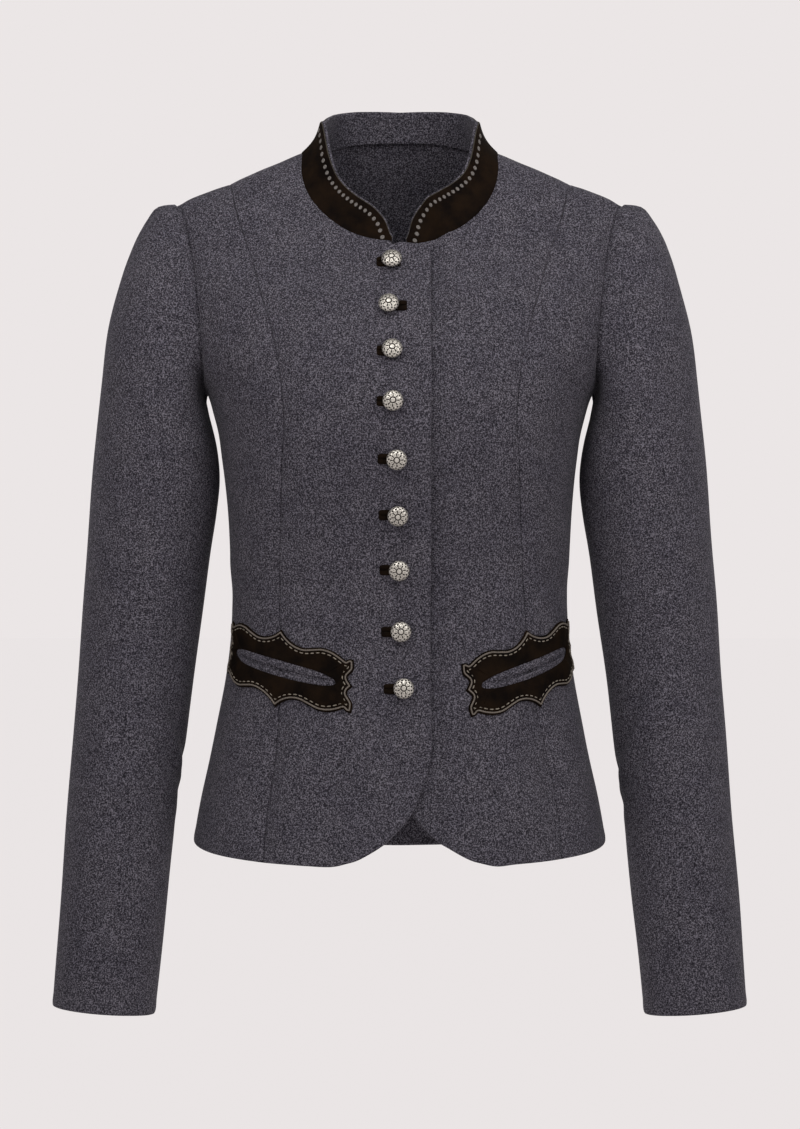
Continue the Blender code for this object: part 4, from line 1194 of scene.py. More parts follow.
@dataclass
class Sleeve:
    """A set-in sleeve with a gathered cap, open at the cuff.

    Folds are given in degrees round the sleeve, 0 on top and 90 in front, and distance down it.
    """

    side: Side
    folds: tuple[SoftFold, ...]
    pitch: float = 3.0
    points_round: int = 60
    degree_mm: float = 0.92
    seam_step: float = 0.2
    tucked_in: float = 5.0
    tucked_under: float = 2.6
    unevenness: float = 0.8
    rings: tuple[Ring, ...] = rows(Ring, (
        (186.0, -42.4, 153.9, -199.5, 50.5, 0, 0.20), (194.5, -45.2, 153.8, -203.0, 51.5, 0, 0.40),
        (201.6, -54.5, 153.2, -207.5, 52.5, 0, 0.58), (208.8, -66.5, 152.2, -213.0, 54.0, 0, 0.72),
        (216.6, -84.5, 150.4, -220.5, 55.5, 0, 0.84), (224.2, -108.5, 147.6, -232.0, 57.0, 0, 0.93),
        (232.4, -140.0, 145.2, -246.0, 58.0, 1, 0.98), (238.6, -185.0, 144.0, -264.0, 58.0, 2, 1.0),
        (244.2, -237.0, 146.4, -290.0, 57.0, 4, 1.0), (248.6, -292.0, 151.4, -322.0, 55.0, 6, 1.0),
        (252.9, -348.0, 157.5, -366.0, 53.0, 8, 1.0), (256.6, -405.0, 164.2, -415.0, 50.5, 8, 1.0),
        (261.4, -466.0, 171.6, -474.0, 48.0, 5, 1.0), (267.0, -538.0, 180.4, -545.0, 45.5, 0, 1.0),
        (272.0, -610.0, 187.4, -617.0, 43.0, -4, 1.0), (276.4, -681.5, 195.0, -688.0, 41.0, -9, 1.0),
    ))

    def key_rings(self) -> tuple[Array, Array]:
        """The ring at the armhole and one for each row of the table, and the turn of their points."""
        front = read_line(PATTERN.armhole(False), np.linspace(0, 1, self.points_round + 1))
        back = read_line(PATTERN.armhole(True), np.linspace(0, 1, self.points_round + 1))
        ring = np.concatenate([front[::-1], back[1:-1]])
        hole = FORM.point(ring[:, 0], ring[:, 1])
        low = FORM.point(PATTERN.side_seam_angle, PATTERN.underarm_z) * (1, 0, 1)
        chord = hole[0] * (1, 0, 1) - low
        length = np.linalg.norm(chord)
        up = chord / length
        out = np.array([up[2], 0.0, -up[0]])
        share, bulge = (hole - low) @ up / length, (hole - low) @ out
        steps = np.linalg.norm(np.diff(hole, axis=0, append=hole[:1]), axis=1)
        turn = np.concatenate([[0.0], np.cumsum(steps)[:-1]]) / steps.sum() * 2 * math.pi
        middle = hole.mean(axis=0)
        inward = unit((middle - hole) - ((middle - hole) @ out)[:, None] * out)
        rings = [hole - out * self.tucked_in + inward * self.tucked_under]
        rings.append(hole + out * self.seam_step)
        for row in self.rings:
            bottom = np.array([row.inner_x, 0.0, row.inner_z])
            span = np.array([row.outer_x, 0.0, row.outer_z]) - bottom
            lift = span / np.linalg.norm(span)
            normal = np.array([lift[2], 0.0, -lift[0]])
            oval_share = 0.5 + 0.5 * np.cos(turn)
            along = (1 - row.oval) * share + row.oval * oval_share
            points = bottom + along[:, None] * span + ((1 - row.oval) * bulge)[:, None] * normal
            round_depth = row.depth * np.sin(turn)
            points[:, 1] = (1 - row.oval) * hole[:, 1] - row.oval * round_depth + row.middle
            rings.append(points)
        return np.stack(rings, axis=1), turn

    def surface(self) -> tuple[Array, Array]:
        """Outer and inner points."""
        keys, turn = self.key_rings()
        places = run_length(keys, 1).mean(axis=0)
        wanted = cut_lines(places[-1], self.pitch) * places[-1]
        grid = np.stack([smooth_between(places, line, wanted) for line in keys])
        around = np.roll(grid, -1, axis=0) - np.roll(grid, 1, axis=0)
        normal = unit(np.cross(around, np.gradient(grid, axis=1)))
        down = np.maximum(run_length(grid, 1) - places[1], 0.0)
        degrees = np.degrees(turn)[:, None] * np.ones_like(down)
        offset = self.unevenness * ripple(grid * (self.side.value, 1, 1), 1.7) * ease(down / 30.0)
        for fold in self.folds:
            for whole_turn in (-360.0, 0.0, 360.0):
                offset += fold.offset((degrees + whole_turn) * self.degree_mm, down)
        under = np.minimum(np.abs(degrees - 180.0), 180.0) * self.degree_mm
        offset -= 0.9 * bell(under, 1.6) + 0.3 * bell(under, 6.0)
        to_cuff = down[:, -1:] - down
        drop = EDGES.outer_drop(Edge.SEAM, down, degrees)
        drop += EDGES.outer_drop(Edge.TURNED, to_cuff, degrees)
        extra, curl = EDGES.inner_depth(Edge.TURNED, to_cuff)
        outer = grid + normal * (offset - drop)[..., None]
        inner = grid + normal * (offset - EDGES.cloth - extra + curl)[..., None]
        mirror = (self.side.value, 1, 1)
        return outer * mirror, inner * mirror

    def make(self, wardrobe: Wardrobe) -> bpy.types.Object:
        """Builds the sleeve and dresses it."""
        node = f"sleeve_{self.side.name.lower()}"
        return cut_from(f"cloth_{node}", node, LODEN, self.surface(), wardrobe, wrapped=True)


def degrees_fold(
    start: tuple[float, float], end: tuple[float, float], width: float, height: float
) -> SoftFold:
    """A sleeve's fold, with the degrees round it turned into millimetres."""
    scale = Sleeve.degree_mm
    return SoftFold((start[0] * scale, start[1]), (end[0] * scale, end[1]), width, height)


RIGHT_SLEEVE_FOLDS = rows(degrees_fold, (
    # Cap: a short pleat in front, a crease over the top and their echoes behind.
    ((27, 0), (23, 15), 1.9, -2.0), ((20, 1), (17, 22), 4.5, 1.2),
    ((5, 8), (9, 42), 2.6, -1.4), ((-3, 6), (-4, 40), 6.0, 0.8),
    ((335, 0), (338, 16), 2.1, -1.7), ((343, 2), (345, 24), 4.5, 1.0),
    ((46, 6), (42, 60), 9.0, -0.9),
    # Upper arm: long soft drags from the underarm.
    ((150, 8), (104, 95), 9, -1.7), ((128, 6), (84, 110), 11, 1.2),
    ((160, 46), (118, 170), 10, -1.2), ((212, 10), (258, 100), 10, -1.6),
    ((232, 8), (280, 130), 12, 1.1),
    # Elbow: breaks towards the inner side.
    ((176, 290), (110, 262), 9, -2.0), ((182, 316), (96, 304), 8, -1.6),
    ((178, 303), (120, 284), 7, 1.3), ((168, 345), (100, 360), 10, -1.3),
    ((190, 296), (252, 270), 9, -1.8), ((190, 322), (246, 312), 8, -1.4),
    ((300, 280), (290, 380), 14, 1.0),
    # Forearm.
    ((70, 400), (60, 560), 15, 0.9), ((120, 420), (128, 600), 12, -0.9),
    ((250, 430), (244, 600), 13, -0.9), ((30, 470), (24, 620), 14, -0.7),
))
LEFT_SLEEVE_FOLDS = rows(degrees_fold, (
    ((24, 0), (20, 17), 2.0, -1.9), ((17, 1), (13, 24), 4.5, 1.1),
    ((9, 6), (20, 46), 2.8, -1.3), ((-4, 6), (-2, 44), 6.0, 0.7),
    ((337, 0), (334, 15), 2.1, -1.8), ((345, 2), (341, 22), 4.5, 1.0),
    ((50, 5), (47, 66), 9.0, -0.8),
    ((153, 8), (108, 88), 9, -1.6), ((130, 6), (90, 118), 11, 1.1),
    ((164, 50), (120, 186), 10, -1.1), ((208, 10), (252, 108), 10, -1.5),
    ((230, 8), (276, 124), 12, 1.0),
    ((175, 300), (106, 276), 9, -1.8), ((184, 328), (92, 312), 8, -1.5),
    ((178, 314), (124, 297), 7, 1.2), ((170, 352), (104, 372), 10, -1.1),
    ((192, 305), (250, 281), 9, -1.7), ((188, 332), (248, 325), 8, -1.3),
    ((296, 290), (286, 386), 14, 0.9),
    ((66, 410), (58, 570), 15, 0.8), ((116, 430), (126, 590), 12, -0.8),
    ((254, 420), (246, 606), 13, -0.8), ((34, 460), (26, 610), 14, -0.7),
))


# ---- Collar --------------------------------------------------------------------------------------


class CollarStation(NamedTuple):
    """The collar's lean in degrees, height and inward bow, at a share of the way to its front end."""

    share: float
    lean: float
    height: float
    bow: float = 0.0


@dataclass
class Collar:
    """Stand-up collar: suede outside, loden inside, with a row of worked dots and a piped edge."""

    stations: tuple[CollarStation, ...] = rows(CollarStation, (
        (0.00, 14.0, 22.6), (0.12, 15.0, 23.8),
        (0.25, 19.0, 27.2, 0.8), (0.42, 32.0, 29.8, 2.6),
        (0.62, 35.0, 27.6, 1.2), (0.80, 20.0, 27.6),
        (1.00, 8.0, 27.8),
    ))
    left_extra: tuple[tuple[float, float], ...] = (
        (0.0, 0.0), (0.30, 0.0), (0.50, -1.0), (0.62, -0.8), (0.70, 2.2), (0.78, 4.6), (0.88, 5.6),
        (0.95, 4.0), (1.0, 1.4),
    )
    end_sweep: tuple[tuple[float, float], ...] = (
        (0.0, 0.09), (3.2, 0.24), (8.0, 0.51), (16.0, 0.76), (24.7, 0.91), (36.0, 0.985), (48.0, 1.0),
    )
    bow_span: float = 29.0
    reach: float = 16.0
    lift: float = -1.8
    suede: float = 1.4
    loden: float = 2.6
    rolled_over: float = 1.5
    line_points: int = 110
    dot_inset: float = 6.2
    dot_pitch: float = 6.1
    dot_radius: float = 1.8
    dot_start: float = 5.0
    dot_reach: float = 140.0
    layer_gap: float = 0.12
    suede_top: float = -0.3
    piping_radius: float = 0.42
    piping_inset: float = 0.25
    piping_depth: float = 0.62
    line: Array = field(init=False)
    distance: Array = field(init=False)
    rise: Array = field(init=False)
    normal: Array = field(init=False)

    def __post_init__(self) -> None:
        """Works out the neck seam and the directions in which the collar stands on it."""
        front = PATTERN.neckline_front(self.line_points)
        half = np.concatenate([front, PATTERN.neckline_back(self.line_points)[1:]])
        right = FORM.point(half[:, 0], half[:, 1])
        left = right - FORM.normal(half[:, 0], half[:, 1]) * LAP.push(right)[:, None]
        self.line = np.concatenate([left, right[-2::-1] * (-1, 1, 1)])
        self.distance = run_length(self.line)
        ahead = at_distance(self.line, self.distance + self.reach)
        behind = at_distance(self.line, self.distance - self.reach)
        tangent = unit(ahead - behind)
        outward = unit(np.stack([tangent[:, 1], -tangent[:, 0], np.zeros(len(tangent))], axis=1))
        outward *= np.sign((outward * self.line).sum(axis=1))[:, None]
        outward = self.even_out(outward)
        upright = unit(np.cross(outward, tangent))
        upright = self.even_out(upright * np.sign(upright[:, 2])[:, None])
        lean = np.radians(self.station("lean", self.distance))[:, None]
        self.rise = upright * np.cos(lean) - outward * np.sin(lean)
        self.normal = outward * np.cos(lean) + upright * np.sin(lean)

    def even_out(self, directions: Array) -> Array:
        """Directions averaged along the collar, so that its top edge runs smoothly."""
        gap = self.distance[:, None] - self.distance[None, :]
        weight = np.exp(-0.5 * (gap / self.reach) ** 2) * np.gradient(self.distance)[None, :]
        return unit(weight @ directions)

    def station(self, name: str, distance: Array) -> Array:
        """A value of the stations' table at distances along the neck seam."""
        share = np.abs(distance / self.distance[-1] - 0.5) * 2
        places = [station.share for station in self.stations]
        return smooth_value(places, [getattr(station, name) for station in self.stations], share)

    def height(self, distance: Array) -> Array:
        """The collar's height, which sweeps down towards both front ends."""
        to_end = np.minimum(distance, self.distance[-1] - distance)
        sweep = np.array(self.end_sweep)
        share = smooth_value(sweep[:, 0], sweep[:, 1], np.minimum(to_end, sweep[-1, 0]))
        left = np.array(self.left_extra)
        to_middle = 1.0 - 2.0 * distance / self.distance[-1]
        extra = smooth_value(left[:, 0], left[:, 1], np.maximum(to_middle, 0.0))
        return self.station("height", distance) * share + extra

    def place(self, distance: Array, up: Array, out: Array) -> Array:
        """Points at distances along the seam, heights above it and distances out of the suede."""
        line, rise, normal = (
            straight_between(self.distance, values, distance)
                for values in (self.line, self.rise, self.normal)
        )
        wave = 0.35 * np.sin(distance / 19.0) * np.sin(up / 14.0)
        height = np.clip(up / self.bow_span, 0.0, 1.0)
        wave = wave - self.station("bow", distance) * np.sin(math.pi * height)
        return line + rise * up[..., None] + normal * (out + wave)[..., None]

    def columns(self) -> Array:
        """Distances along the seam of the grid's columns, closer together at the rounded ends."""
        near = np.array((0.0, 0.15, 0.4, 0.8, 1.4, 2.2, 3.2, 4.4, 6.0, 8.0, 10.5, 13.0, 16.0))
        total = self.distance[-1]
        middle = np.linspace(18.5, total - 18.5, 150)
        return np.concatenate([near, middle, total - near[::-1]])

    def shell(self, front: float, thickness: float, top: float) -> tuple[Array, Array]:
        """Outer and inner points of one layer.

        Args:
            front: How far its outer face stands behind the suede's outer face.
            thickness: Its thickness.
            top: How much higher than the collar's outline it reaches.

        Returns:
            Outer and inner points.
        """
        along = self.columns()
        height = self.height(along) + top
        share = np.concatenate([cut_lines(29.0, 1.5)])
        up = self.lift + share[None, :] * (height[:, None] - self.lift)
        slope = np.gradient(height, along)
        to_edge = (height[:, None] - up) / np.sqrt(1 + slope[:, None] ** 2)
        curl = 0.46 * thickness * (rolled(to_edge, 1.5) + rolled(up - self.lift, 1.2))
        spread = along[:, None] * np.ones_like(up)
        outer = self.place(spread, up, -front - curl)
        return outer, self.place(spread, up, -front - thickness + curl)

    def outline(self, inset: float) -> Array:
        """The collar's outline drawn in by an inset, as distance along the seam and height."""
        along = self.columns()
        height = self.height(along)
        slope = np.gradient(height, along)
        length = np.sqrt(1 + slope**2)
        return np.stack([along + inset * slope / length, height - inset / length], axis=1)

    def dots(self, right_end: bool) -> Array:
        """Where the worked dots of one end lie: from low on the end up towards the shoulder."""
        path = self.outline(self.dot_inset)
        path = path[path[:, 1] > self.dot_start - 3.5]
        path = path[::-1] if right_end else path
        fine = at_distance(path, np.linspace(0, run_length(path)[-1], 2000))
        places = np.arange(1.0, self.dot_reach, self.dot_pitch)
        return at_distance(fine, places)

    def dot(self, along: float, up: float) -> tuple[Array, Faces]:
        """One dot's mesh: a small raised ring of yarn with a dip in its middle."""
        radii = np.array((0.0, 0.28, 0.5, 0.72, 0.9, 1.0)) * self.dot_radius
        heights = np.array((0.10, 0.16, 0.42, 0.46, 0.26, -0.15))
        turn = np.linspace(0.0, 2 * math.pi, 14, endpoint=False)
        u = along + radii[:, None] * np.cos(turn)
        v = up + radii[:, None] * np.sin(turn)
        out = heights[:, None] + 0.05 * np.sin(5 * turn + along)
        points = self.place(u, v, out)
        count = len(turn)
        faces: Faces = []
        for i in range(len(radii) - 1):
            for k in range(count):
                m = (k + 1) % count
                faces.append((i * count + k, (i + 1) * count + k, (i + 1) * count + m, i * count + m))
        return points, faces

    def make(self, wardrobe: Wardrobe) -> list[bpy.types.Object]:
        """Builds the collar's two layers, its dots and its edge piping."""
        suede = self.shell(0.0, self.suede, self.suede_top)
        facing = self.shell(self.suede + self.layer_gap, self.loden, self.rolled_over)
        dots = [self.dot(*place) for right_end in (False, True) for place in self.dots(right_end)]
        path = self.outline(self.piping_inset)
        seam = self.place(path[:, 0], path[:, 1], np.full(len(path), -self.suede * self.piping_depth))
        up = straight_between(self.distance, self.normal, path[:, 0])
        piping = tube(seam, up, np.full(len(path), self.piping_radius))
        return [
            cut_from("suede_collar", "collar_suede", SUEDE, suede, wardrobe),
            cut_from("cloth_collar_facing", "collar_facing", LODEN, facing, wardrobe),
            made_of("collar_dots", DOT, wardrobe, *dots),
            made_of("collar_piping", PIPING, wardrobe, piping),
        ]


# ---- Pockets -------------------------------------------------------------------------------------


@dataclass(frozen=True)
class Girth:
    """Distances round the body from the front centre, for pieces that lie on it."""

    height: float = -400.0

    def angle(self, across: Array) -> Array:
        """Angles at distances round the body."""
        angles = np.linspace(0.0, 130.0, 521)
        run = run_length(FORM.point(angles, np.full_like(angles, self.height)))
        return np.sign(across) * np.interp(np.abs(across), run, angles)

    def on_cloth(self, across: Array, z: Array, lift: Array) -> Array:
        """Points that stand lift out of the draped cloth."""
        angle = self.angle(across)
        base = FORM.point(angle, z)
        normal = FORM.normal(angle, z)
        return base + normal * (DRAPE.offset(base) + lift)[..., None]


GIRTH = Girth()


@dataclass
class Pocket:
    """A slanted welt pocket framed by a scalloped suede patch with a cord and a running stitch.

    u runs along the slit, towards the side seam where it is negative, and v across it.
    """

    side: Side
    across: float
    z: float
    slope: float
    lean: float
    inner: float
    outer: float
    scallop: tuple[tuple[float, float], ...] = (
        (0.0, 30.3), (6.0, 25.0), (13.0, 21.6), (20.0, 20.6), (28.0, 22.4), (36.0, 24.4), (43.0, 24.0),
        (50.0, 21.6), (55.5, 18.6), (61.5, 20.6), (61.8, 13.0), (57.5, 5.6), (61.5, 0.0),
    )
    sharp: tuple[int, ...] = (0, 8, 9, 12)
    tip_bow: tuple[float, float] = (-0.5, 0.9)
    patch_half: tuple[float, float] = (61.8, 30.3)
    slit_half: tuple[float, float] = (48.0, 5.9)
    slit_power: float = 0.78
    suede: float = 1.4
    lift: float = 0.25
    cord_inset: float = 1.75
    cord_radius: float = 0.62
    stitch_inset: float = 4.2
    stitch_pitch: float = 4.7
    stitch_length: float = 3.4
    stitch_radius: float = 0.44
    lip_half: float = 44.0
    lip_points: int = 60
    lip_rise: float = 2.0
    mouth_gap: float = 2.6
    mouth_sag: float = -0.9

    @property
    def label(self) -> str:
        """The side's name."""
        return self.side.name.lower()

    def at(self, u: Array, v: Array, lift: Array) -> Array:
        """Points on the cloth at places along and across the slit."""
        stretched = np.where(u > 0, u * self.inner, u * self.outer)
        across = self.side.value * (self.across - (stretched + self.lean * v))
        return GIRTH.on_cloth(across, self.z + v - self.slope * stretched, lift)

    def quarter(self) -> Array:
        """A quarter of the scalloped outline, smooth between its sharp points."""
        table = np.array(self.scallop)
        runs = []
        for first, last in zip(self.sharp[:-1], self.sharp[1:]):
            part = table[first : last + 1]
            count = max(6, int(run_length(part)[-1] / 0.8))
            places = run_length(part)
            wanted = np.linspace(0.0, places[-1], count + 1)[:-1]
            if len(part) > 2:
                run = smooth_between(places, part, wanted)
            else:
                bow = np.sin(np.pi * wanted / places[-1])[:, None]
                run = straight_between(places, part, wanted) + bow * np.array([self.tip_bow])
            runs.append(run)
        return np.concatenate(runs)

    def outline(self) -> Array:
        """The whole scalloped outline, as u and v."""
        quarter = self.quarter()
        end = np.array([self.scallop[-1]])
        upper = np.concatenate([quarter, end, quarter[:0:-1] * (1, -1)])
        return np.concatenate([upper, -upper])

    def slit(self, outline: Array) -> Array:
        """The slit's outline, with a point for each point of the patch's outline."""
        turn = np.arctan2(outline[:, 1] / 26.0, outline[:, 0] / 62.0)
        power = self.slit_power
        u = self.slit_half[0] * np.sign(np.cos(turn)) * np.abs(np.cos(turn)) ** power
        v = self.slit_half[1] * np.sign(np.sin(turn)) * np.abs(np.sin(turn)) ** power
        return np.stack([u, v], axis=1)

    def inset(self, distance: float) -> Array:
        """The outline drawn in by a distance, evenly spaced, without crossing itself."""
        outline = self.outline()
        tangent = unit(np.roll(outline, -1, axis=0) - np.roll(outline, 1, axis=0))
        inward = np.stack([tangent[:, 1], -tangent[:, 0]], axis=1)
        inward *= np.sign((inward * (self.slit(outline) - outline)).sum(axis=1).mean())
        moved = outline + inward * distance
        gap = np.linalg.norm(moved[:, None] - outline[None], axis=2).min(axis=1)
        moved = moved[gap > 0.93 * distance]
        ring = np.concatenate([moved, moved[:1]])
        total = run_length(ring)[-1]
        return at_distance(ring, np.linspace(0.0, total, int(total / 0.7), endpoint=False))

    def patch(self) -> tuple[Array, Array]:
        """Outer and inner points of the suede patch, pressed down under its cord."""
        outline = self.outline()
        slit = self.slit(outline)
        width = np.linalg.norm(outline - slit, axis=1)
        near_slit = [0.0, 0.02, 0.05, 0.1, 0.18, 0.3, 0.42, 0.54, 0.64, 0.72]
        share = np.concatenate([near_slit, np.linspace(0.78, 1.0, 12)])
        grid = slit[:, None] * (1 - share)[None, :, None] + outline[:, None] * share[None, :, None]
        to_edge = (1 - share)[None, :] * width[:, None]
        to_slit = share[None, :] * width[:, None]
        puff = 0.45 * bell(to_edge - 9.0, 4.5)
        groove = 0.40 * bell(to_edge - self.cord_inset, 1.1)
        groove += 0.30 * bell(to_edge - self.stitch_inset, 0.9)
        edge = 0.75 * self.suede * rolled(to_edge, 1.2) + 0.8 * self.suede * rolled(to_slit, 1.6)
        top = self.lift + self.suede + puff - groove - edge
        outer = self.at(grid[..., 0], grid[..., 1], top)
        bottom = np.minimum(np.full_like(top, self.lift), top - 0.15)
        return outer, self.at(grid[..., 0], grid[..., 1], bottom)

    def lip(self, up: int) -> tuple[Array, Array]:
        """Outer and inner points of one loden lip, rounded over its folded edge."""
        u = np.linspace(-self.lip_half, self.lip_half, self.lip_points)
        reach = (np.abs(u) / self.slit_half[0]) ** (2 / self.slit_power)
        far = self.slit_half[1] * np.sqrt(1 - reach) ** self.slit_power + 0.6
        share = np.array((0.0, 0.03, 0.08, 0.16, 0.28, 0.42, 0.56, 0.70, 0.82, 0.92, 1.0))
        sag = self.mouth_sag * np.cos(np.pi * u / (2 * self.lip_half))
        near = self.mouth_gap / 2 + up * sag
        v = up * (near[:, None] + share[None, :] * (far - near)[:, None])
        crown = self.lip_rise * np.sin(np.pi * (0.10 + 0.78 * share)) ** 0.55 * (1 - 0.35 * share)
        ends = ease((self.lip_half - np.abs(u)) / 9.0 + 0.12) * (0.92 + 0.08 * np.sin(u / 6.0))
        crown = crown[None, :] * ends[:, None]
        spread = u[:, None] * np.ones_like(v)
        base = np.full_like(v, self.lift - 0.1)
        return self.at(spread, v, base + crown), self.at(spread, v, base - 0.25)

    def above(self, line: Array, lift: Array) -> tuple[Array, Array]:
        """Points at a lift over places along and across the slit, and the way out from them."""
        points = self.at(line[:, 0], line[:, 1], lift)
        return points, self.at(line[:, 0], line[:, 1], lift + 1.0) - points

    def stitches(self) -> list[tuple[Array, Faces]]:
        """The running stitch's meshes: short yarns that dive into the suede at both ends."""
        made = []
        path = self.inset(self.stitch_inset)
        ring = np.concatenate([path, path[:1]])
        sink = np.array((-0.55, 0.02, 0.16, 0.16, 0.02, -0.55))
        for middle in spaced(ring, self.stitch_pitch):
            places = middle + np.linspace(-0.5, 0.5, len(sink)) * self.stitch_length
            line = at_distance(ring, places % run_length(ring)[-1])
            points, up = self.above(line, self.lift + self.suede - 0.05 + sink)
            radius = self.stitch_radius * np.array((0.55, 0.95, 1.0, 1.0, 0.95, 0.55))
            made.append(tube(points, up, radius, 6))
        return made

    def make(self, wardrobe: Wardrobe) -> list[bpy.types.Object]:
        """Builds the patch, its cord and stitching, and the pocket's two lips."""
        label = self.label
        outer, inner = self.patch()
        patch = made_of(f"suede_patch_{label}", SUEDE, wardrobe, wall(outer, inner, wrapped=True))
        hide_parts(f"pocket_patch_{label}")
        path = self.inset(self.cord_inset)
        points, up = self.above(path, np.full(len(path), self.lift + self.suede + 0.12))
        twist = 1 + 0.13 * np.sin(run_length(path) * 2 * math.pi / 1.9)
        rope = tube(points, up, self.cord_radius * twist, closed=True)
        cord = made_of(f"patch_cord_{label}", CORD, wardrobe, rope)
        stitch = made_of(f"patch_stitch_{label}", STITCH, wardrobe, *self.stitches())
        _, area = flat_cut(np.concatenate([outer, outer[:1]]))
        made = [patch, cord, stitch]
        for up_side, name in ((1, "upper"), (-1, "lower")):
            cut, node = f"cloth_lip_{name}_{label}", f"pocket_lip_{name}_{label}"
            made.append(cut_from(cut, node, LODEN, self.lip(up_side),
                wardrobe))
        return made


# ---- Buttons and buttonholes ---------------------------------------------------------------------


class ButtonPlace(NamedTuple):
    """A button's middle, the side to which its buttonhole reaches and how far past the button."""

    x: float
    z: float
    hole_side: int
    reach: float


BUTTON_PLACES = rows(ButtonPlace, (
    (-6.1, -93.5, -1, 4.0), (-8.5, -129.4, 1, 6.2), (-5.7, -165.0, -1, 4.0),
    (-5.1, -204.2, -1, 4.6), (-2.2, -248.7, -1, 6.8), (-1.3, -291.8, -1, 6.8),
    (-0.4, -334.3, -1, 7.2), (1.0, -382.3, -1, 7.4), (3.1, -426.5, -1, 7.4),
))


@dataclass
class Buttonhole:
    """A bound buttonhole: a suede strip folded to two lips with the slit between them."""

    number: int
    place: ButtonPlace
    length: float = 19.0
    height: float = 8.0
    button_radius: float = 8.0
    wall: float = 1.0
    lift: float = 0.2

    def surface(self) -> tuple[Array, Array]:
        """Outer and inner points."""
        along = cut_lines(self.length, 0.8)
        up = cut_lines(self.height, 0.5)
        offset = self.button_radius + self.place.reach - self.length / 2
        x = self.place.x + self.place.hole_side * offset + (along - 0.5) * self.length
        v = (up - 0.5) * self.height
        x, v = np.meshgrid(x, v, indexing="ij")
        from_end = np.clip(np.minimum(along, 1 - along) * self.length / 2.2, 0, 1)
        v = v * (0.72 + 0.28 * np.sqrt(from_end))[:, None]
        at = FORM.locate(x, self.place.z + v)
        base = FORM.point(at[..., 0], at[..., 1])
        normal = FORM.normal(at[..., 0], at[..., 1])
        to_end = np.minimum(along, 1 - along)[:, None] * self.length
        to_side = np.minimum(up, 1 - up)[None, :] * self.height
        lips = 0.35 * np.abs(np.sin(math.pi * v / (self.height / 2)))
        slit = 1.1 * bell(v, 0.55) * ease(to_end / 2.5)
        rounding = self.wall * (0.8 * rolled(to_end, 1.0) + 0.8 * rolled(to_side, 1.0))
        top = np.maximum(self.lift + self.wall + lips - slit - rounding, self.lift + 0.08)
        drape = DRAPE.offset(base)
        outer = base + normal * (drape + top)[..., None]
        return outer, base + normal * (drape + self.lift - 0.15)[..., None]

    def make(self, wardrobe: Wardrobe) -> bpy.types.Object:
        """Builds the strip and dresses it."""
        node = f"buttonhole_{self.number}"
        return cut_from(f"suede_{node}", node, SUEDE, self.surface(), wardrobe)


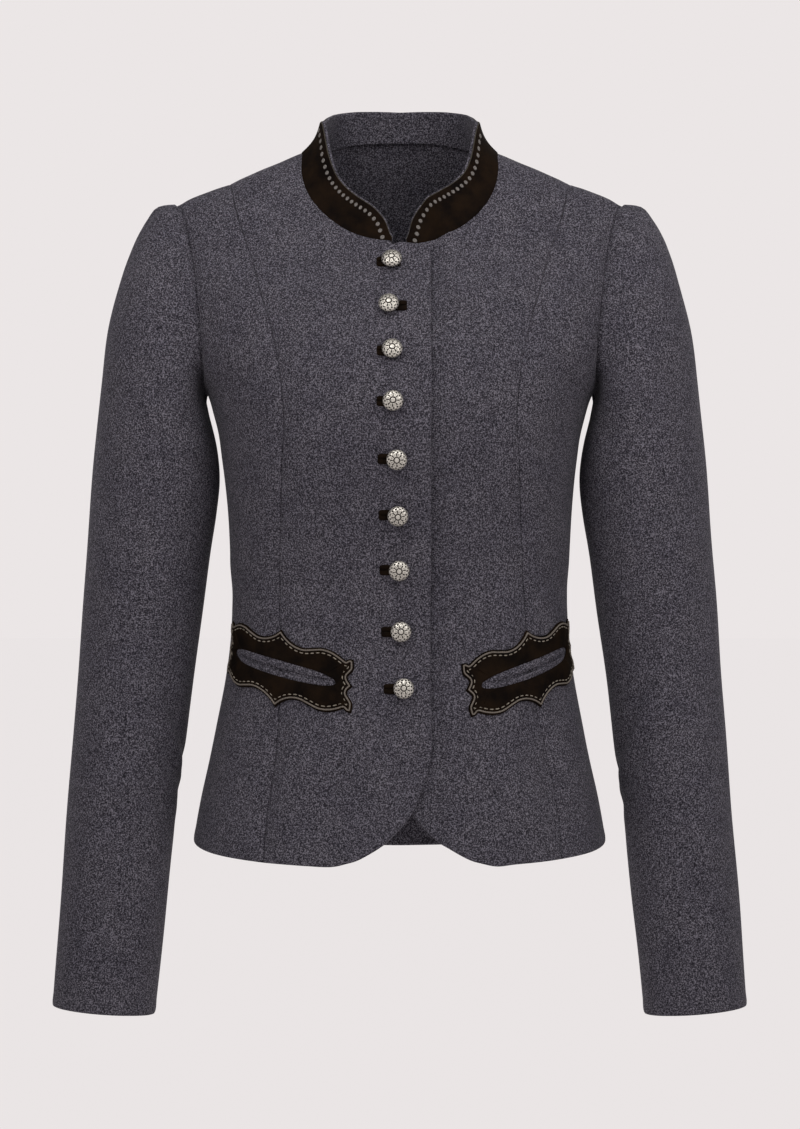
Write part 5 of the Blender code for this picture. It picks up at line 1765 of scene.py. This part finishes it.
@dataclass
class Button:
    """A cast dome button with a boss, a wreath of petals, rings of shallow pits in place of pierced holes
    and a lacy rim.

    Each row of pit_rings is a ring of holes: their number, the ring's share of the radius, the size
    of a hole as a share of it, and how far the ring is turned.
    """

    number: int
    place: ButtonPlace
    radius: float = 8.0
    rise: float = 5.6
    stand: float = 1.5
    shank: float = 2.0
    lift: float = 2.0
    petals: int = 8
    rim_beads: int = 24
    pit_rings: tuple[tuple[int, float, float, float], ...] = (
        (12, 0.56, 0.060, 0.0), (12, 0.73, 0.066, 0.26), (24, 0.865, 0.036, 0.10),
    )
    turned: float = 0.0

    def relief(self, share: Array, turn: Array) -> Array:
        """How raised the casting is, from 0 to 1, at shares of the radius and turns round it; it shapes
        the dome and also sets how dark its painted shade is.
        """
        base = 0.80 + 0.10 * np.cos(2 * self.petals * turn) * bell(share - 0.5, 0.2)
        boss_moat = 0.75 * bell(share - 0.165, 0.030)
        petal = np.abs(np.cos(self.petals / 2 * turn))
        between = 0.95 * bell(petal, 0.30) * bell(share - 0.33, 0.115, 4)
        vein = 0.40 * bell(petal - 1.0, 0.02) * bell(share - 0.34, 0.08)
        cut = np.max([boss_moat, between, vein], axis=0)
        for number, ring, size, shift in self.pit_rings:
            step = 2 * math.pi / number
            aside = (((turn + shift) / step) % 1.0 - 0.5) * step * ring
            cut = np.maximum(cut, bell(np.hypot(aside, share - ring), size, 4))
        bead = 0.5 + 0.5 * np.cos(self.rim_beads * turn)
        edge = 0.55 * (1 - bead) * ease((share - 0.90) / 0.06)
        return np.clip(base - np.maximum(cut, edge), 0.0, 1.0)

    def make(self, wardrobe: Wardrobe) -> bpy.types.Object:
        """Builds the button and dresses it."""
        share = np.linspace(0.0, 1.0, 44) ** 0.92
        turn = np.linspace(0.0, 2 * math.pi, 156, endpoint=False)
        s, t = np.meshgrid(share, turn, indexing="ij")
        relief = self.relief(s, t + self.turned)
        angle = s * math.pi / 2
        radius = self.radius * np.sin(angle) ** 0.94
        beads = 1 - np.cos(self.rim_beads * (t + self.turned))
        radius = radius * (1 - 0.035 * beads * ease((s - 0.86) / 0.1))
        dome = self.stand + 0.9 + (self.rise - 1.3) * np.cos(angle) ** 0.9
        top = dome + (relief - 0.45) * 0.75 * (0.35 + 0.65 * np.cos(angle))
        radius = radius + (relief - 0.5) * 0.25 * np.sin(angle)
        back = ((0.985, 0.3), (0.90, 0.0),
            (self.shank / self.radius, 0.0), (self.shank / self.radius, -self.stand),
                (0.05, -self.stand))
        rings = [np.stack([radius * np.cos(t), radius * np.sin(t), top], axis=-1)]
        edge = radius[-1]
        for scale, height in back:
            ring = np.stack([edge * scale * np.cos(turn), edge * scale * np.sin(turn),
                             np.full_like(turn, self.stand + height)], axis=-1)
            rings.append(ring[None])
        points = np.concatenate(rings)
        # The relief is stored for the material's painted shade; the back is marked low, so it is painted
        # dark as well.
        marks = np.concatenate([relief, np.full((len(back), len(turn)), 0.35)])
        rows, count = points.shape[:2]
        here = (np.arange(rows - 1)[:, None] * count + np.arange(count)[None]).reshape(-1)
        there = (np.arange(rows - 1)[:, None] * count + (np.arange(count)[None] + 1) % count).reshape(-1)
        faces = [tuple(f) for f in np.stack([here, here + count, there + count, there], axis=1).tolist()]
        faces.append(tuple((rows - 1) * count + k for k in range(count))[::-1])
        at = FORM.locate(self.place.x, self.place.z)
        base, normal = FORM.point(*at), FORM.normal(*at)
        side = unit(np.cross((0.0, 0.0, 1.0), normal))
        up = np.cross(normal, side)
        local = points.reshape(-1, 3)
        placed = base + local[:, :1] * side + local[:, 1:2] * up + (local[:, 2:] + self.lift) * normal
        parts = MeshParts()
        parts.add(placed, faces, marks)
        piece = parts.build(f"button_dome_{self.number}", mark="raised")
        wardrobe.dress(piece, SILVER)
        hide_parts(f"button_{self.number}")
        return piece


# ---- Studio --------------------------------------------------------------------------------------


@dataclass(frozen=True)
class SoftLight:
    """A large soft studio light that looks at the jacket's middle."""

    name: str
    place_m: tuple[float, float, float]
    size_m: float
    watts: float
    colour: tuple[float, float, float] = (1.0, 0.985, 0.97)

    def make(self, target_m: tuple[float, float, float]) -> bpy.types.Object:
        """Adds the light."""
        data = bpy.data.lights.new(self.name, "AREA")
        data.shape = "DISK"
        data.size = self.size_m
        data.energy = self.watts
        data.color = self.colour
        lamp = bpy.data.objects.new(self.name, data)
        lamp.location = self.place_m
        towards = np.subtract(target_m, self.place_m)
        across = math.hypot(towards[0], towards[1])
        lamp.rotation_euler = (math.pi / 2 + math.atan2(towards[2], across), 0.0,
                               math.atan2(towards[1], towards[0]) - math.pi / 2)
        bpy.context.scene.collection.objects.link(lamp)
        return lamp


@dataclass(frozen=True)
class Studio:
    """Camera, wide pale floor that runs into a pale horizon, and soft lights."""

    camera_m: tuple[float, float, float] = (0.00024, -3.2, -0.330)
    lens: float = 127.55
    target_m: tuple[float, float, float] = (0.0, 0.0, -0.33)
    floor_z: float = -1.25
    half_width: float = 60.0
    near_m: float = 2.2
    far_m: float = 3.2
    pale: tuple[float, float, float] = (0.831, 0.791, 0.791)
    near_glow: float = 0.45
    far_glow: float = 0.985
    near_base: float = 0.55
    far_base: float = 0.02
    sky: tuple[float, float, float] = (0.130, 0.130, 0.136)
    horizon: tuple[float, float] = (0.17, 0.27)
    lights: tuple[SoftLight, ...] = (
        SoftLight("key", (-0.62, -1.25, 1.00), 0.7, 12.9),
        SoftLight("fill", (1.25, -1.60, 0.95), 1.3, 16.5),
        SoftLight("top", (0.4, -0.75, 1.4), 1.0, 7.5),
        SoftLight("behind", (0.7, 2.1, 1.2), 1.4, 8.0),
    )

    def camera(self) -> None:
        """Adds the camera, level with the jacket's middle."""
        data = bpy.data.cameras.new("camera")
        data.lens = self.lens
        data.sensor_width = 36.0
        data.clip_end = 50.0
        camera = bpy.data.objects.new("camera", data)
        camera.location = self.camera_m
        camera.rotation_euler = (math.pi / 2, 0.0, 0.0)
        bpy.context.scene.collection.objects.link(camera)
        bpy.context.scene.camera = camera

    def floor(self) -> None:
        """Adds the floor, a little darker near the jacket and as pale as the horizon far away."""
        size = self.half_width
        points = [(x, y, self.floor_z)
            for x, y in ((-size, -size), (size, -size), (size, size), (-size, size))]
        mesh = bpy.data.meshes.new("pale_floor")
        mesh.from_pydata(points, [], [(0, 1, 2, 3)])
        floor = bpy.data.objects.new("pale_floor", mesh)
        bpy.context.scene.collection.objects.link(floor)
        board = NodeBoard("PaleFloor")
        distance = board.add("ShaderNodeVectorMath", operation="LENGTH")
        board.join(board.place(), distance.inputs[0])
        share = board.add("ShaderNodeMapRange")
        board.join(distance.outputs["Value"], share.inputs["Value"])
        share.inputs["From Min"].default_value = self.near_m
        share.inputs["From Max"].default_value = self.far_m
        share = share.outputs["Result"]
        base = [tuple(part * level for part in self.pale) for level in (self.near_base, self.far_base)]
        glow = [tuple(part * level for part in self.pale) for level in (self.near_glow, self.far_glow)]
        board.join(board.mix(share, *base), board.shader.inputs["Base Color"])
        board.join(board.mix(share, *glow), board.shader.inputs["Emission Color"])
        board.set(Roughness=0.9, Specular_IOR_Level=0.0, Emission_Strength=1.0)
        mesh.materials.append(board.material)

    def surroundings(self) -> None:
        """Sets a sky that is pale at the horizon and dim above it."""
        world = bpy.data.worlds.new("studio")
        bpy.context.scene.world = world
        world.use_nodes = True
        tree = world.node_tree
        direction = tree.nodes.new("ShaderNodeTexCoord")
        height = tree.nodes.new("ShaderNodeSeparateXYZ")
        ramp = tree.nodes.new("ShaderNodeValToRGB")
        for element, place, colour in zip(ramp.color_ramp.elements, self.horizon, (self.pale, self.sky)):
            element.position = place
            element.color = (*colour, 1.0)
        tree.links.new(direction.outputs["Generated"], height.inputs[0])
        tree.links.new(height.outputs["Z"], ramp.inputs["Fac"])
        tree.links.new(ramp.outputs["Color"], tree.nodes["Background"].inputs["Color"])

    def make(self) -> None:
        """Sets up the camera, the floor, the sky and the lights."""
        self.camera()
        self.floor()
        self.surroundings()
        for light in self.lights:
            light.make(self.target_m)
        bpy.context.scene.view_settings.view_transform = "Standard"


def main() -> None:
    """Builds the studio and every piece in order."""
    logging.basicConfig(level=logging.INFO, format="%(message)s")
    Studio().make()
    wardrobe = Wardrobe()
    groups = (
        Body(),
        Sleeve(Side.RIGHT, RIGHT_SLEEVE_FOLDS),
        Sleeve(Side.LEFT, LEFT_SLEEVE_FOLDS),
        Collar(),
        Pocket(Side.RIGHT, 97.0, -411.0, 0.2235, 0.00, 1.00, 1.12),
        Pocket(Side.LEFT, 109.0, -411.5, 0.2800, 0.12, 0.96, 1.04),
        *(Buttonhole(number, place) for number, place in enumerate(BUTTON_PLACES, 1)),
        *(Button(number, place, turned=0.7 * number) for number, place in enumerate(BUTTON_PLACES, 1)),
    )
    for group in groups:
        made = group.make(wardrobe)
        for piece in made if isinstance(made, list) else [made]:
            log.info("%s: %d faces", piece.name, len(piece.data.polygons))


if __name__ == "__main__":
    main()
